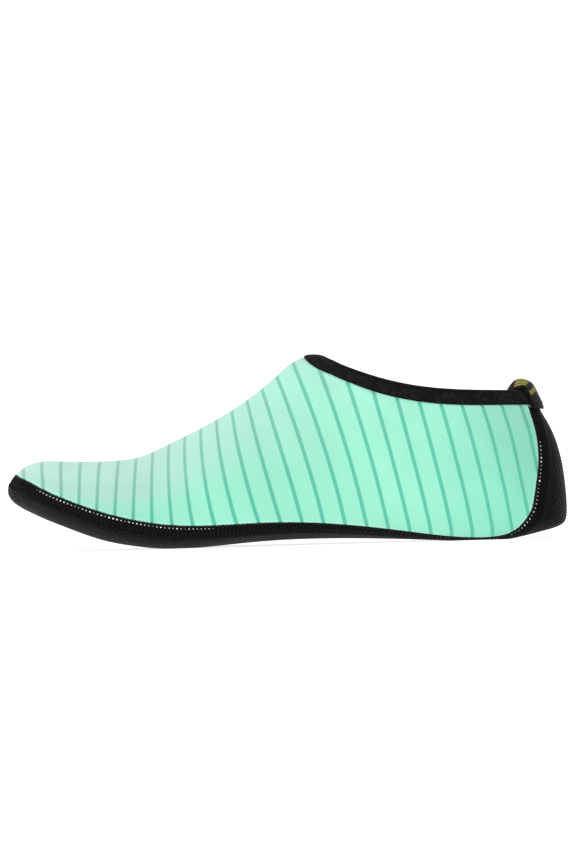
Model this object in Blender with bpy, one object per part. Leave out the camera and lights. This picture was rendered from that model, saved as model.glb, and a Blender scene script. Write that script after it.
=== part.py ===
"""Right water shoe, standing empty on its sole.

Frame: metres, +Z up, toe toward -X, inner side of the foot toward -Y.
The origin is the middle of the flat spot under the heel.

The last is one function. Sections fan out from the tip of the toe to the rim of
the collar, each running from the sole's line up both sides to the ridge line.
Every piece is a region of that function, set off along its normal.
A place on it is a pair (a, b): the distance from the toe tip counted in rows of
the table below, with the ridge toward -a, the sole toward +a and the outer
side of the foot toward +b.
"""
import math

import bmesh
import bpy
import numpy as np

# Sizes of the last
LENGTH = 0.245
BALL_WIDTH = 0.090
HEEL_WIDTH = 0.064
THROAT_HEIGHT = 0.0825
HEEL_HEIGHT = 0.066
TOE_LIFT = 0.027
HEEL_REST_SHARE = 0.835

# Sizes of the pieces
UPPER_WALL = 0.0022
SOLE_WALL = 0.0030
INSOLE_THICKNESS = 0.0030
BAND_WIDTH = 0.0060
BAND_THICKNESS = 0.0010
BAND_PROUD = 0.0006
BINDING_LEG = 0.0074
THROAT_LEG = 0.0096
BINDING_THICKNESS = 0.0008
TAB_WIDTH = 0.026
TAB_THICKNESS = 0.0010
TAB_RISE = 0.0066
TAB_DEPTH = 0.0120
TAB_TAIL = 0.0024
GAP = 0.0003

# How the pull tab's loop flattens toward its edges, as a share of its rise, and
# how far its tail leans in below the binding, as a share of BINDING_THICKNESS
TAB_DOME = 0.84
TAIL_LEAN = 0.50

# Lengths of the forward sections as shares. sole_x and ridge_x are shares of
# LENGTH, sole_z of TOE_LIFT, ridge_z of THROAT_HEIGHT, breadth of half of
# BALL_WIDTH, swing and ridge_swing of BALL_WIDTH, dip of HEEL_HEIGHT. widest and
# seam are shares of the way from sole line to ridge, and the two fullness
# columns say how square the section is at each end.
COLUMNS = ("sole_x", "sole_z", "ridge_x", "ridge_z", "breadth", "swing", "ridge_swing",
           "widest", "sole_full", "ridge_full", "dip", "seam")
FORWARD_ROWS = (
    (0.000, 1.000, 0.000, 0.327, 0.000, -0.110, -0.110, 0.50, 2.0, 2.0, 0.0, 1.000),
    (0.004, 0.880, 0.007, 0.374, 0.210, -0.110, -0.110, 0.50, 2.0, 2.0, 0.0, 1.000),
    (0.015, 0.775, 0.019, 0.422, 0.380, -0.108, -0.112, 0.48, 2.1, 2.1, 0.0, 0.880),
    (0.036, 0.660, 0.037, 0.462, 0.540, -0.102, -0.117, 0.45, 2.3, 2.2, 0.0, 0.670),
    (0.070, 0.510, 0.070, 0.482, 0.680, -0.094, -0.122, 0.42, 2.6, 2.3, 0.0, 0.533),
    (0.120, 0.319, 0.120, 0.475, 0.810, -0.078, -0.122, 0.40, 3.0, 2.3, 0.0, 0.463),
    (0.180, 0.130, 0.180, 0.473, 0.900, -0.054, -0.117, 0.38, 3.6, 2.3, 0.0, 0.407),
    (0.250, 0.018, 0.235, 0.489, 0.965, -0.029, -0.106, 0.36, 4.2, 2.2, 0.0, 0.348),
    (0.310, -0.014, 0.280, 0.541, 1.000, -0.008, -0.090, 0.34, 4.6, 2.1, 0.0, 0.284),
    (0.380, 0.022, 0.330, 0.608, 1.000, 0.013, -0.073, 0.32, 4.6, 2.0, 0.0, 0.229),
    (0.460, 0.070, 0.375, 0.676, 0.955, 0.031, -0.056, 0.32, 4.2, 1.9, 0.0, 0.187),
    (0.550, 0.085, 0.410, 0.735, 0.880, 0.041, -0.044, 0.32, 3.8, 1.9, 0.0, 0.146),
    (0.660, 0.059, 0.445, 0.805, 0.800, 0.038, -0.033, 0.33, 3.8, 1.8, 0.0, 0.090),
)

# The sections behind the waist. sole_z is here a share of HEEL_HEIGHT and
# breadth of half of HEEL_WIDTH. The last row is the top of the collar.
REAR_ROWS = (
    (0.760, 0.004, 0.475, 0.873, 1.030, 0.028, -0.024, 0.35, 4.2, 1.8, 0.000, 0.042),
    (0.835, -0.008, 0.497, 0.929, 1.005, 0.016, -0.017, 0.37, 4.8, 1.85, 0.006, 0.023),
    (0.900, 0.002, 0.513, 0.966, 1.000, 0.010, -0.011, 0.38, 4.6, 1.9, 0.015, 0.026),
    (0.950, 0.039, 0.526, 0.984, 0.990, 0.006, -0.007, 0.38, 3.8, 1.9, 0.030, 0.064),
    (0.989, 0.081, 0.537, 0.994, 0.985, 0.003, -0.003, 0.38, 3.0, 1.95, 0.052, 0.111),
    (1.001, 0.165, 0.546, 0.995, 0.970, 0.000, 0.000, 0.39, 2.6, 2.0, 0.073, 0.122),
    (1.000, 0.330, 0.553, 0.995, 0.950, 0.000, 0.000, 0.40, 2.4, 2.05, 0.103, 0.106),
    (0.994, 0.515, 0.560, 0.994, 0.915, 0.000, 0.000, 0.42, 2.3, 2.1, 0.126, 0.088),
    (0.980, 0.700, 0.566, 0.993, 0.870, 0.000, 0.000, 0.43, 2.2, 2.1, 0.136, 0.070),
    (0.960, 0.845, 0.571, 0.992, 0.825, 0.000, 0.000, 0.44, 2.1, 2.2, 0.121, 0.050),
    (0.942, 0.985, 0.577, 0.991, 0.790, 0.000, 0.000, 0.45, 2.0, 2.2, 0.086, 0.043),
)
RIM_ROW = len(FORWARD_ROWS) + len(REAR_ROWS) - 1
SEAM_TOE_ROW = 1.7
BAND_END_ROW = RIM_ROW - 1.15
LEG_ROW = RIM_ROW - 1
THIN_START_ROW = RIM_ROW - 4
THIN_END_ROW = BAND_END_ROW - 1
DRAWN_ROWS = 6
THROAT_REACH = 0.16
INSOLE_ROWS = (2.2, 15.9)
INSOLE_SHARE = 0.85
INSOLE_ROUND = 6
DIP_SKEW = 1.2
MIDDLE_DRAW = 1.6
KEPT_FROM = 0.60
KEPT_TO = 0.72

# Across the band: shares of its width and of its height above the surface
BAND_PROFILE = ((0.0, 0.4), (0.12, 1.0), (0.5, 1.0), (0.88, 1.0), (1.0, 0.4))

# The ribbon's route from its tail over the collar. The first three columns go
# outward, in whole faces from the inner to the outer one and in shares of
# BINDING_THICKNESS and TAB_DEPTH. The others go up, in shares of BINDING_LEG,
# TAB_TAIL, the binding's height above the wall, and TAB_RISE.
TAB_ROUTE = (
    (1, -TAIL_LEAN, 0.00, -1.00, -1.0, 1.0, 0.00),
    (1, 0.0, 0.00, -1.00, 0.0, 1.0, 0.00),
    (1, 0.0, 0.00, -0.50, 0.0, 0.5, 0.00),
    (1, 0.0, 0.00, 0.00, 0.0, 0.0, 0.00),
    (1, 0.0, -0.02, 0.00, 0.0, 1.0, 0.30),
    (1, 0.0, -0.20, 0.00, 0.0, 1.0, 0.78),
    (1, 0.0, -0.48, 0.00, 0.0, 1.0, 1.00),
    (1, 0.0, -0.80, 0.00, 0.0, 1.0, 0.78),
    (1, 0.0, -1.05, 0.00, 0.0, 1.0, 0.30),
    (1, 0.0, -0.95, 0.00, 0.0, 1.0, -0.25),
    (0, 0.0, -0.10, -0.30, 0.0, 0.0, 0.00),
    (0, 0.0, 0.00, -0.75, 0.0, 0.0, 0.00),
)

# How finely each piece is cut into faces
SECTION_POINTS = 97
PATH_POINTS = 240
WALK_STEPS = 8
SEAM_RIBS = 42
UPPER_SPANS = 8
SOLE_SPANS = 6
ARC_SPANS = 4
INSOLE_RIBS = 24
INSOLE_SPANS = 4
TAB_SPANS = 8
TAB_POINTS = 17
UNDER_BAND = 2
COLLAR_RIBS = 3
SLOPE_NUDGE = 0.06
WELD = 0.00002
SMOOTH_BELOW = math.radians(40.0)
TINY = 1e-12

# Each piece's colour and roughness
SHOE_NAME = "water_shoe"
UPPER_LOOK = ((0.42, 0.92, 0.72), 0.75)
SOLE_LOOK = ((0.012, 0.012, 0.011), 0.60)
BAND_LOOK = ((0.016, 0.016, 0.015), 0.80)
BINDING_LOOK = ((0.010, 0.010, 0.010), 0.90)
INSOLE_LOOK = ((0.050, 0.050, 0.050), 0.90)
TAB_LOOK = ((0.012, 0.012, 0.012), 0.70)


def natural_spline(knots, values):
    """Return a smooth curve through the values, straight at both ends."""
    count = len(knots)
    steps = np.diff(knots)
    matrix = np.eye(count)
    right = np.zeros(count)
    for i in range(1, count - 1):
        matrix[i, i - 1] = steps[i - 1]
        matrix[i, i] = 2.0 * (steps[i - 1] + steps[i])
        matrix[i, i + 1] = steps[i]
        right[i] = 6.0 * ((values[i + 1] - values[i]) / steps[i]
                          - (values[i] - values[i - 1]) / steps[i - 1])
    bends = np.linalg.solve(matrix, right)

    def curve(at):
        at = np.clip(at, knots[0], knots[-1])
        i = np.clip(np.searchsorted(knots, at) - 1, 0, count - 2)
        step = steps[i]
        low = (knots[i + 1] - at) / step
        high = (at - knots[i]) / step
        return (low * values[i] + high * values[i + 1]
                + ((low ** 3 - low) * bends[i] + (high ** 3 - high) * bends[i + 1]) * step ** 2 / 6.0)

    return curve


def ease(part):
    """Smooth step from 0 to 1."""
    return part * part * (3.0 - 2.0 * part)


def section_lengths():
    """Turn the two tables of shares into one table of lengths."""
    half_ball = 0.5 * BALL_WIDTH
    half_heel = 0.5 * HEEL_WIDTH
    rows = [(row, TOE_LIFT, half_ball) for row in FORWARD_ROWS]
    rows += [(row, HEEL_HEIGHT, half_heel) for row in REAR_ROWS]
    table = {name: [] for name in COLUMNS}
    for row, sole_size, breadth_size in rows:
        share = dict(zip(COLUMNS, row))
        table["sole_x"].append((share["sole_x"] - HEEL_REST_SHARE) * LENGTH)
        table["sole_z"].append(share["sole_z"] * sole_size)
        table["ridge_x"].append((share["ridge_x"] - HEEL_REST_SHARE) * LENGTH)
        table["ridge_z"].append(share["ridge_z"] * THROAT_HEIGHT)
        table["breadth"].append(share["breadth"] * breadth_size)
        table["swing"].append(share["swing"] * BALL_WIDTH)
        table["ridge_swing"].append(share["ridge_swing"] * BALL_WIDTH)
        table["dip"].append(share["dip"] * HEEL_HEIGHT)
        for name in ("widest", "sole_full", "ridge_full", "seam"):
            table[name].append(share[name])
    table["ridge_z"][0] = table["sole_z"][0]
    return {name: np.array(values) for name, values in table.items()}


def last_curves():
    """Return a smooth curve for each column, the side outline being one curve."""
    table = section_lengths()
    rows = np.arange(RIM_ROW + 1, dtype=float)
    around = np.arange(-RIM_ROW, RIM_ROW + 1, dtype=float)
    curves = {name: natural_spline(rows, table[name])
              for name in ("breadth", "widest", "sole_full", "ridge_full", "dip")}
    for axis in ("x", "z"):
        joined = np.concatenate([table["ridge_" + axis][:0:-1], table["sole_" + axis]])
        curves["outline_" + axis] = natural_spline(around, joined)
    joined = np.concatenate([table["ridge_swing"][:0:-1], table["swing"]])
    curves["swing"] = natural_spline(around, joined)
    seam_rows = np.concatenate([[SEAM_TOE_ROW], rows[2:]])
    seam_shares = np.concatenate([[1.0], table["seam"][2:]])
    curves["seam"] = natural_spline(seam_rows, seam_shares)
    return curves


CURVES = last_curves()


def sections(row, side):
    """Points along the sections, sole to ridge, and their shares of the way up."""
    row = np.asarray(row, dtype=float)[:, None]
    side = np.asarray(side, dtype=float)[:, None]
    turn = np.linspace(0.0, math.pi, SECTION_POINTS)[None, :]
    lower = turn < 0.5 * math.pi
    full = np.where(lower, CURVES["sole_full"](row), CURVES["ridge_full"](row))
    cosine = np.abs(np.cos(turn))
    sine = np.sin(turn)
    reach = (cosine ** full + sine ** full) ** (-1.0 / full)
    widest = CURVES["widest"](row)
    share = np.where(lower, widest * (1.0 - reach * cosine), widest + (1.0 - widest) * reach * cosine)
    share[:, -1] = 1.0
    sole_x = CURVES["outline_x"](row)
    sole_z = CURVES["outline_z"](row)
    rise_x = CURVES["outline_x"](-row) - sole_x
    rise_z = CURVES["outline_z"](-row) - sole_z
    chord = np.maximum(np.hypot(rise_x, rise_z), TINY)
    sag = CURVES["dip"](row) * np.sin(math.pi * share ** DIP_SKEW)
    middle = CURVES["swing"](row) * (1.0 - ease(share)) + CURVES["swing"](-row) * ease(share)
    x = sole_x + rise_x * share - sag * rise_z / chord
    y = middle + side * CURVES["breadth"](row) * reach * sine
    z = sole_z + rise_z * share + sag * rise_x / chord
    return np.stack([x, y, z], axis=-1), share


def along(points):
    """Length run through at each point of a batch of lines."""
    steps = np.linalg.norm(np.diff(points, axis=1), axis=2)
    return np.concatenate([np.zeros((len(points), 1)), np.cumsum(steps, axis=1)], axis=1)


def last_point(a, b):
    """Point of the last at the places (a, b)."""
    row = np.hypot(a, b)
    turn = np.arctan2(b, -a) / math.pi
    points, share = sections(row, np.where(turn < 0.0, -1.0, 1.0))
    run = along(points)
    target = (1.0 - np.abs(turn)) * run[:, -1]
    upper = np.clip(np.sum(run < target[:, None], axis=1), 1, SECTION_POINTS - 1)
    index = np.arange(len(target))
    before = run[index, upper - 1]
    width = np.maximum(run[index, upper] - before, TINY)
    part = np.clip((target - before) / width, 0.0, 1.0)[:, None]
    return points[index, upper - 1] * (1.0 - part) + points[index, upper] * part


def slopes(a, b):
    """Change of the last's point with a and with b."""
    row = np.hypot(a, b)
    keep = np.minimum(1.0, (RIM_ROW - SLOPE_NUDGE) / np.maximum(row, 1.0))
    a = a * keep
    b = b * keep
    by_a = (last_point(a + SLOPE_NUDGE, b) - last_point(a - SLOPE_NUDGE, b)) / (2.0 * SLOPE_NUDGE)
    by_b = (last_point(a, b + SLOPE_NUDGE) - last_point(a, b - SLOPE_NUDGE)) / (2.0 * SLOPE_NUDGE)
    return by_a, by_b


def unit(vectors):
    """Vectors of length one in the same directions."""
    return vectors / np.maximum(np.linalg.norm(vectors, axis=-1, keepdims=True), TINY)


def outward(a, b):
    """Normal of the last, pointing out of the shoe."""
    by_a, by_b = slopes(a, b)
    return unit(np.cross(by_b, by_a))


def set_off(a, b, offset):
    """Point of the last moved out along its normal."""
    return last_point(a, b) + outward(a, b) * np.asarray(offset)[..., None]


def walk(a, b, distance, closed=False):
    """Move a line of places sideways over the last by a distance, sole side first."""
    a = np.array(a, dtype=float)
    b = np.array(b, dtype=float)
    step = np.asarray(distance, dtype=float) / WALK_STEPS * np.ones_like(a)
    for _ in range(WALK_STEPS):
        points = last_point(a, b)
        if closed:
            tangent = np.roll(points, -1, axis=0) - np.roll(points, 1, axis=0)
        else:
            tangent = np.gradient(points, axis=0)
        by_a, by_b = slopes(a, b)
        across = unit(np.cross(unit(np.cross(by_b, by_a)), unit(tangent)))
        aa = np.sum(by_a * by_a, axis=1)
        ab = np.sum(by_a * by_b, axis=1)
        bb = np.sum(by_b * by_b, axis=1)
        right_a = np.sum(by_a * across, axis=1) * step
        right_b = np.sum(by_b * across, axis=1) * step
        whole = aa * bb - ab * ab
        a += (right_a * bb - right_b * ab) / whole
        b += (right_b * aa - right_a * ab) / whole
    over = np.minimum(1.0, RIM_ROW / np.maximum(np.hypot(a, b), 1.0))
    return a * over, b * over


def seam_line():
    """Places of the upper's lower edge, from the inner heel round the toe."""
    share = np.linspace(0.0, 1.0, PATH_POINTS)
    row = SEAM_TOE_ROW + (RIM_ROW - SEAM_TOE_ROW) * share ** 2
    level = CURVES["seam"](row)
    points, way = sections(row, np.ones_like(row))
    run = along(points)
    turn = np.array([1.0 - np.interp(level[i], way[i], run[i]) / run[i, -1] for i in range(len(row))])
    turn[0] = 0.0
    outer_a = -row * np.cos(math.pi * turn)
    outer_b = row * np.sin(math.pi * turn)
    a = np.concatenate([outer_a[:0:-1], outer_a])
    b = np.concatenate([-outer_b[:0:-1], outer_b])
    return a, b


def halves(a, b):
    """Split a line beside the seam at the toe, each half running from toe to heel."""
    middle = len(a) // 2
    return (a[middle::-1], b[middle::-1]), (a[middle:], b[middle:])


def collar_line(distance, count):
    """Closed line of places below the collar's top, from the heel round the inner side."""
    turn = np.linspace(-1.0, 1.0, count, endpoint=False)
    a = -RIM_ROW * np.cos(math.pi * turn)
    b = RIM_ROW * np.sin(math.pi * turn)
    return turn, walk(a, b, distance(turn), closed=True)


def leg_length(turn):
    """Depth of the collar binding, deeper where it lies level at the throat."""
    near = np.clip(1.0 - np.abs(turn) / THROAT_REACH, 0.0, 1.0)
    return BINDING_LEG + (THROAT_LEG - BINDING_LEG) * ease(near)


def wall_top(turn):
    """How far below the collar's top the upper's own edge ends."""
    return (0.5 * UPPER_WALL + GAP + BINDING_THICKNESS) * np.ones_like(turn)


def row_line(distance):
    """Row that lies at a distance below the collar's top, for each turn."""
    _, (a, b) = collar_line(distance, PATH_POINTS)
    turn = np.arctan2(b, -a) / math.pi
    order = np.argsort(turn)
    return turn[order], np.hypot(a, b)[order]


SEAM = seam_line()
EDGE_ROWS = row_line(wall_top)
LEG_ROWS = row_line(leg_length)


def under_collar(a, b):
    """Draw rows near the rim to the binding's lower edge and to the upper's edge."""
    row = np.hypot(a, b)
    turn = np.arctan2(b, -a) / math.pi
    top = np.interp(turn, *EDGE_ROWS, period=2.0)
    low = np.interp(turn, *LEG_ROWS, period=2.0)
    start = LEG_ROW - DRAWN_ROWS
    part = (row - start) / DRAWN_ROWS
    below = start + (low - start) * part
    above = low + (top - low) * (row - LEG_ROW) / (RIM_ROW - LEG_ROW)
    drawn = np.where(row > LEG_ROW, above, np.where(row > start, below, row))
    scale = drawn / np.maximum(row, TINY)
    return a * scale, b * scale


def rib_marks():
    """Where the ribs start on each half of the seam, as fractions of its points."""
    marks = []
    for a, b in halves(*SEAM):
        row = np.hypot(a, b)
        index = np.arange(len(a), dtype=float)
        run = along(last_point(a, b)[None])[0] + along(last_point(row, np.zeros_like(row))[None])[0]
        end = np.interp(BAND_END_ROW, row, run)
        even = np.interp(np.linspace(0.0, end, SEAM_RIBS + 1), run, index)
        top = np.interp((LEG_ROW, 0.5 * (LEG_ROW + RIM_ROW), RIM_ROW), row, index)
        marks.append(np.concatenate([even, top]))
    return marks


MARKS = rib_marks()


def beside_seam(distance):
    """Starts of all ribs on a line beside the seam, for the inner and outer side."""
    a, b = walk(*SEAM, distance)
    sides = []
    for (side_a, side_b), mark in zip(halves(a, b), MARKS):
        index = np.arange(len(side_a))
        picked_a = np.interp(mark, index, side_a)
        picked_b = np.interp(mark, index, side_b)
        sides.append((picked_a, picked_b))
    return sides


def ribs(distances, spans, inside):
    """Grid of places, each line running from seam to seam.

    The first columns lie at the given distances beside the seam, and inside says
    how a rib runs on from there to its middle.
    """
    edges = [beside_seam(distance) for distance in distances]
    columns = []
    for side in (0, 1):
        lines = [edge[side] for edge in edges]
        for k in range(1, spans + 1):
            lines.append(inside(edges[-1], side, k / spans))
        if side:
            lines = lines[-2::-1]
        columns += lines
    a, b = [np.stack([line[i] for line in columns], axis=1) for i in (0, 1)]
    return under_collar(a, b)


def over_ridge(ends, side, part):
    """Places a part of the way from the upper's edge to the ridge."""
    rows = [np.hypot(*end) for end in ends]
    row = rows[side] * (1.0 - part) + 0.5 * (rows[0] + rows[1]) * part
    turn = np.arctan2(ends[side][1], -ends[side][0]) / math.pi * (1.0 - part)
    return -row * np.cos(math.pi * turn), row * np.sin(math.pi * turn)


def under_foot(ends, side, part):
    """Places a part of the way from the sole's edge to its middle line, kept to the sections at the heel."""
    middle = 0.0
    for a, b in ends:
        turn = np.abs(np.arctan2(b, -a)) / math.pi
        middle = middle - 0.5 * np.hypot(a, b) * np.cos(math.pi * np.minimum(1.0, MIDDLE_DRAW * turn))
    a, b = ends[side]
    row = np.hypot(a, b) * (1.0 - part) + middle * part
    turn = np.arctan2(b, -a) / math.pi
    bent = turn * (1.0 - part) + np.sign(turn) * part
    kept = ease(np.clip((np.abs(turn) - KEPT_FROM) / (KEPT_TO - KEPT_FROM), 0.0, 1.0))
    straight_a = a * (1.0 - part) + middle * part
    straight_b = b * (1.0 - part)
    new_a = straight_a * (1.0 - kept) - row * np.cos(math.pi * bent) * kept
    new_b = straight_b * (1.0 - kept) + row * np.sin(math.pi * bent) * kept
    return new_a, new_b


def recessed(places):
    """Outer offsets of a grid whose outermost columns lie under the band."""
    offsets = np.zeros_like(places[0])
    step = BAND_THICKNESS + GAP - BAND_PROUD
    offsets[:SEAM_RIBS + 1, :UNDER_BAND] = -step
    offsets[:SEAM_RIBS + 1, -UNDER_BAND:] = -step
    return offsets


def grid_points(places, offsets):
    """Points of a grid of places set off by a grid of offsets."""
    a, b = places
    points = set_off(a.ravel(), b.ravel(), np.broadcast_to(offsets, a.shape).ravel())
    return points.reshape(a.shape + (3,))


def on_floor(points, height=0.0):
    """Keep points from going below a height."""
    points[..., 2] = np.maximum(points[..., 2], height)
    return points


def shell(name, outer, inner, look, folded=False, ring=False):
    """Closed solid between two grids of points of the same size.

    A folded shell has its first line doubled back on itself at the toe, so that
    line has no edge of its own. A ring's last line is followed by its first.
    """
    mesh = bmesh.new()
    top, bottom = [[[mesh.verts.new(point) for point in line] for line in grid] for grid in (outer, inner)]
    if ring:
        top.append(top[0])
        bottom.append(bottom[0])
    for i in range(len(top) - 1):
        for j in range(len(top[0]) - 1):
            mesh.faces.new((top[i][j], top[i][j + 1], top[i + 1][j + 1], top[i + 1][j]))
            mesh.faces.new((bottom[i][j], bottom[i + 1][j], bottom[i + 1][j + 1], bottom[i][j + 1]))
        mesh.faces.new((top[i][0], top[i + 1][0], bottom[i + 1][0], bottom[i][0]))
        mesh.faces.new((top[i + 1][-1], top[i][-1], bottom[i][-1], bottom[i + 1][-1]))
    if not ring:
        for j in range(len(top[0]) - 1):
            if not folded:
                mesh.faces.new((top[0][j + 1], top[0][j], bottom[0][j], bottom[0][j + 1]))
            mesh.faces.new((top[-1][j], top[-1][j + 1], bottom[-1][j + 1], bottom[-1][j]))
    return finish(name, mesh, *look)


def finish(name, mesh, color, roughness):
    """Weld, close and shade a piece and give it its own material."""
    bmesh.ops.remove_doubles(mesh, verts=mesh.verts, dist=WELD)
    bmesh.ops.triangulate(mesh, faces=mesh.faces)
    bmesh.ops.recalc_face_normals(mesh, faces=mesh.faces)
    data = bpy.data.meshes.new(name)
    mesh.to_mesh(data)
    mesh.free()
    data.shade_smooth()
    data.set_sharp_from_angle(angle=SMOOTH_BELOW)
    piece = bpy.data.objects.new(name, data)
    bpy.data.collections[SHOE_NAME].objects.link(piece)
    material = bpy.data.materials.new(name)
    material.use_nodes = True
    surface = material.node_tree.nodes["Principled BSDF"]
    surface.inputs["Base Color"].default_value = (*color, 1.0)
    surface.inputs["Roughness"].default_value = roughness
    surface.inputs["Metallic"].default_value = 0.0
    data.materials.append(material)
    return piece


def upper_places():
    """Grid of places of the upper, its first two columns under the band."""
    joint = 0.5 * (BAND_WIDTH - GAP)
    return ribs((joint, -GAP, -2.0 * GAP), UPPER_SPANS, over_ridge)


def sole_places():
    """Grid of places of the outsole, its first two columns under the band."""
    joint = 0.5 * (BAND_WIDTH + GAP)
    return ribs((joint, BAND_WIDTH + GAP, BAND_WIDTH + 2.0 * GAP), SOLE_SPANS, under_foot)


def add_upper():
    """Hollow upper, from the seam on one side over the ridge to the other."""
    places = upper_places()
    outer = on_floor(grid_points(places, recessed(places)))
    inner = grid_points(places, -UPPER_WALL)
    return shell("upper", outer, inner, UPPER_LOOK, folded=True)


def add_outsole():
    """Sole from seam to seam, round the toe tip and up the back of the heel."""
    places = sole_places()
    row = np.hypot(*places)
    thin = np.clip((row - THIN_START_ROW) / (THIN_END_ROW - THIN_START_ROW), 0.0, 1.0)
    outer = on_floor(grid_points(places, recessed(places)))
    inner = grid_points(places, -SOLE_WALL + (SOLE_WALL - UPPER_WALL) * thin)
    return shell("outsole", outer, inner, SOLE_LOOK, folded=True)


def add_seam_band():
    """Raised band that covers the joint of upper and sole all the way round."""
    crown = np.array([height for _, height in BAND_PROFILE])
    lines = []
    for share, _ in BAND_PROFILE:
        (inner_a, inner_b), (outer_a, outer_b) = beside_seam(share * BAND_WIDTH)
        count = SEAM_RIBS + 1
        a = np.concatenate([inner_a[:count][:0:-1], outer_a[:count]])
        b = np.concatenate([inner_b[:count][:0:-1], outer_b[:count]])
        lines.append((a, b))
    places = under_collar(*[np.stack([line[i] for line in lines], axis=1) for i in (0, 1)])
    outer = on_floor(grid_points(places, BAND_PROUD * crown[None, :]), GAP)
    inner = grid_points(places, BAND_PROUD - BAND_THICKNESS)
    return shell("seam_band", outer, inner, BAND_LOOK)


def collar_stations():
    """Places round the collar at the binding's lower edge, between, and at the top."""
    upper_grid = [grid[-COLLAR_RIBS:, UNDER_BAND:-UNDER_BAND] for grid in upper_places()]
    sole_grid = [grid[-COLLAR_RIBS:] for grid in sole_places()]
    last_column = sole_grid[0].shape[1] - 1
    keep = [0] + list(range(UNDER_BAND, last_column + 1 - UNDER_BAND)) + [last_column]
    sole_grid = [grid[:, keep[::-1]] for grid in sole_grid]
    return tuple(np.concatenate([upper_grid[i], sole_grid[i]], axis=1).T for i in (0, 1))


def add_collar_binding():
    """Folded binding round the collar, over its edge and down both faces."""
    places = collar_stations()
    edge_a, edge_b = places[0][:, -1], places[1][:, -1]
    normal = outward(edge_a, edge_b)
    edge = last_point(edge_a, edge_b)
    rise = edge - last_point(places[0][:, -2], places[1][:, -2])
    rise = unit(rise - normal * np.sum(rise * normal, axis=1, keepdims=True))
    heart = edge - normal * 0.5 * UPPER_WALL
    faces = []
    for reach in (GAP + BINDING_THICKNESS, GAP):
        radius = 0.5 * UPPER_WALL + reach
        outer_leg = grid_points(places, reach)
        inner_leg = grid_points(places, -UPPER_WALL - reach)[:, ::-1]
        turns = [math.pi * k / ARC_SPANS for k in range(1, ARC_SPANS)]
        arc = [heart + radius * (normal * math.cos(turn) + rise * math.sin(turn)) for turn in turns]
        faces.append(np.concatenate([outer_leg, np.stack(arc, axis=1), inner_leg], axis=1))
    return shell("collar_binding", faces[0], faces[1], BINDING_LOOK, ring=True)


def add_insole():
    """Foam insole on the floor of the sole, rounded at toe and heel."""
    way = -np.cos(np.linspace(0.0, math.pi, INSOLE_RIBS))
    toe_row, heel_row = INSOLE_ROWS
    row = 0.5 * (toe_row + heel_row) + 0.5 * (heel_row - toe_row) * way
    width = INSOLE_SHARE * np.sqrt(1.0 - np.abs(way) ** INSOLE_ROUND)
    spread = np.linspace(-1.0, 1.0, 2 * INSOLE_SPANS + 1)
    turns = []
    for a, b in halves(*walk(*SEAM, BAND_WIDTH)):
        edge = np.interp(row, np.hypot(a, b), np.abs(np.arctan2(b, -a)) / math.pi)
        turns.append((1.0 - edge) * width)
    reach = np.where(spread[None, :] < 0.0, turns[0][:, None], turns[1][:, None]) * spread[None, :]
    places = (row[:, None] * np.cos(math.pi * reach), row[:, None] * np.sin(math.pi * reach))
    top = SOLE_WALL + 2.0 * GAP
    outer = grid_points(places, -top)
    inner = grid_points(places, -top - INSOLE_THICKNESS)
    return shell("insole", outer, inner, INSOLE_LOOK)


def rim_stations():
    """Places across the pull tab on the upper's top edge, and their distances from the heel's middle."""
    _, (rim_a, rim_b) = collar_line(wall_top, PATH_POINTS)
    middle = PATH_POINTS // 2
    rim_a, rim_b = np.roll(rim_a, middle), np.roll(rim_b, middle)
    run = along(last_point(rim_a, rim_b)[None])[0]
    across = np.linspace(-0.5 * TAB_WIDTH, 0.5 * TAB_WIDTH, TAB_SPANS + 1)
    at = across + run[middle]
    return across, np.interp(at, run, rim_a), np.interp(at, run, rim_b)


def tab_routes(across):
    """Distances outward and upward along the ribbon, a line for each station across it."""
    face, binding, depth, leg, tail, top, rise = np.array(TAB_ROUTE).T
    outside = 2.0 * GAP + BINDING_THICKNESS + 0.5 * TAB_THICKNESS
    inside = -UPPER_WALL - BINDING_THICKNESS - 4.0 * GAP - 0.5 * TAB_THICKNESS
    dome = 1.0 - TAB_DOME * (2.0 * across / TAB_WIDTH) ** 2
    out = inside + (outside - inside) * face + BINDING_THICKNESS * binding + TAB_DEPTH * depth
    flat = BINDING_LEG * leg + TAB_TAIL * tail + wall_top(0.0) * top
    knots = np.arange(len(TAB_ROUTE), dtype=float)
    at = np.linspace(0.0, knots[-1], TAB_POINTS)
    out_line = natural_spline(knots, out)(at)
    flat_line = natural_spline(knots, flat)(at)
    rise_line = natural_spline(knots, TAB_RISE * rise)(at)
    up_lines = flat_line[None, :] + dome[:, None] * rise_line[None, :]
    return np.broadcast_to(out_line, up_lines.shape), up_lines, inside


def add_pull_tab():
    """Ribbon over the back of the collar: down outside, a domed loop above, and in again."""
    across, a, b = rim_stations()
    normal = outward(a, b)
    edge = last_point(a, b)
    by_a, by_b = slopes(a, b)
    rise = by_a * a[:, None] + by_b * b[:, None]
    rise = unit(rise - normal * np.sum(rise * normal, axis=1, keepdims=True))
    straight = normal[TAB_SPANS // 2]
    out, up, inside = tab_routes(across)
    tangent = unit(np.stack([np.gradient(out, axis=1), np.gradient(up, axis=1)], axis=-1))
    faces = []
    for sign in (1.0, -1.0):
        shift_out = out + sign * 0.5 * TAB_THICKNESS * tangent[..., 1]
        shift_up = up - sign * 0.5 * TAB_THICKNESS * tangent[..., 0]
        near = np.maximum(shift_out, inside)[..., None]
        far = np.minimum(shift_out - inside, 0.0)[..., None]
        points = edge[:, None, :] + normal[:, None, :] * near + straight * far
        faces.append(points + rise[:, None, :] * shift_up[..., None])
    return shell("pull_tab", faces[0], faces[1], TAB_LOOK)


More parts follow.
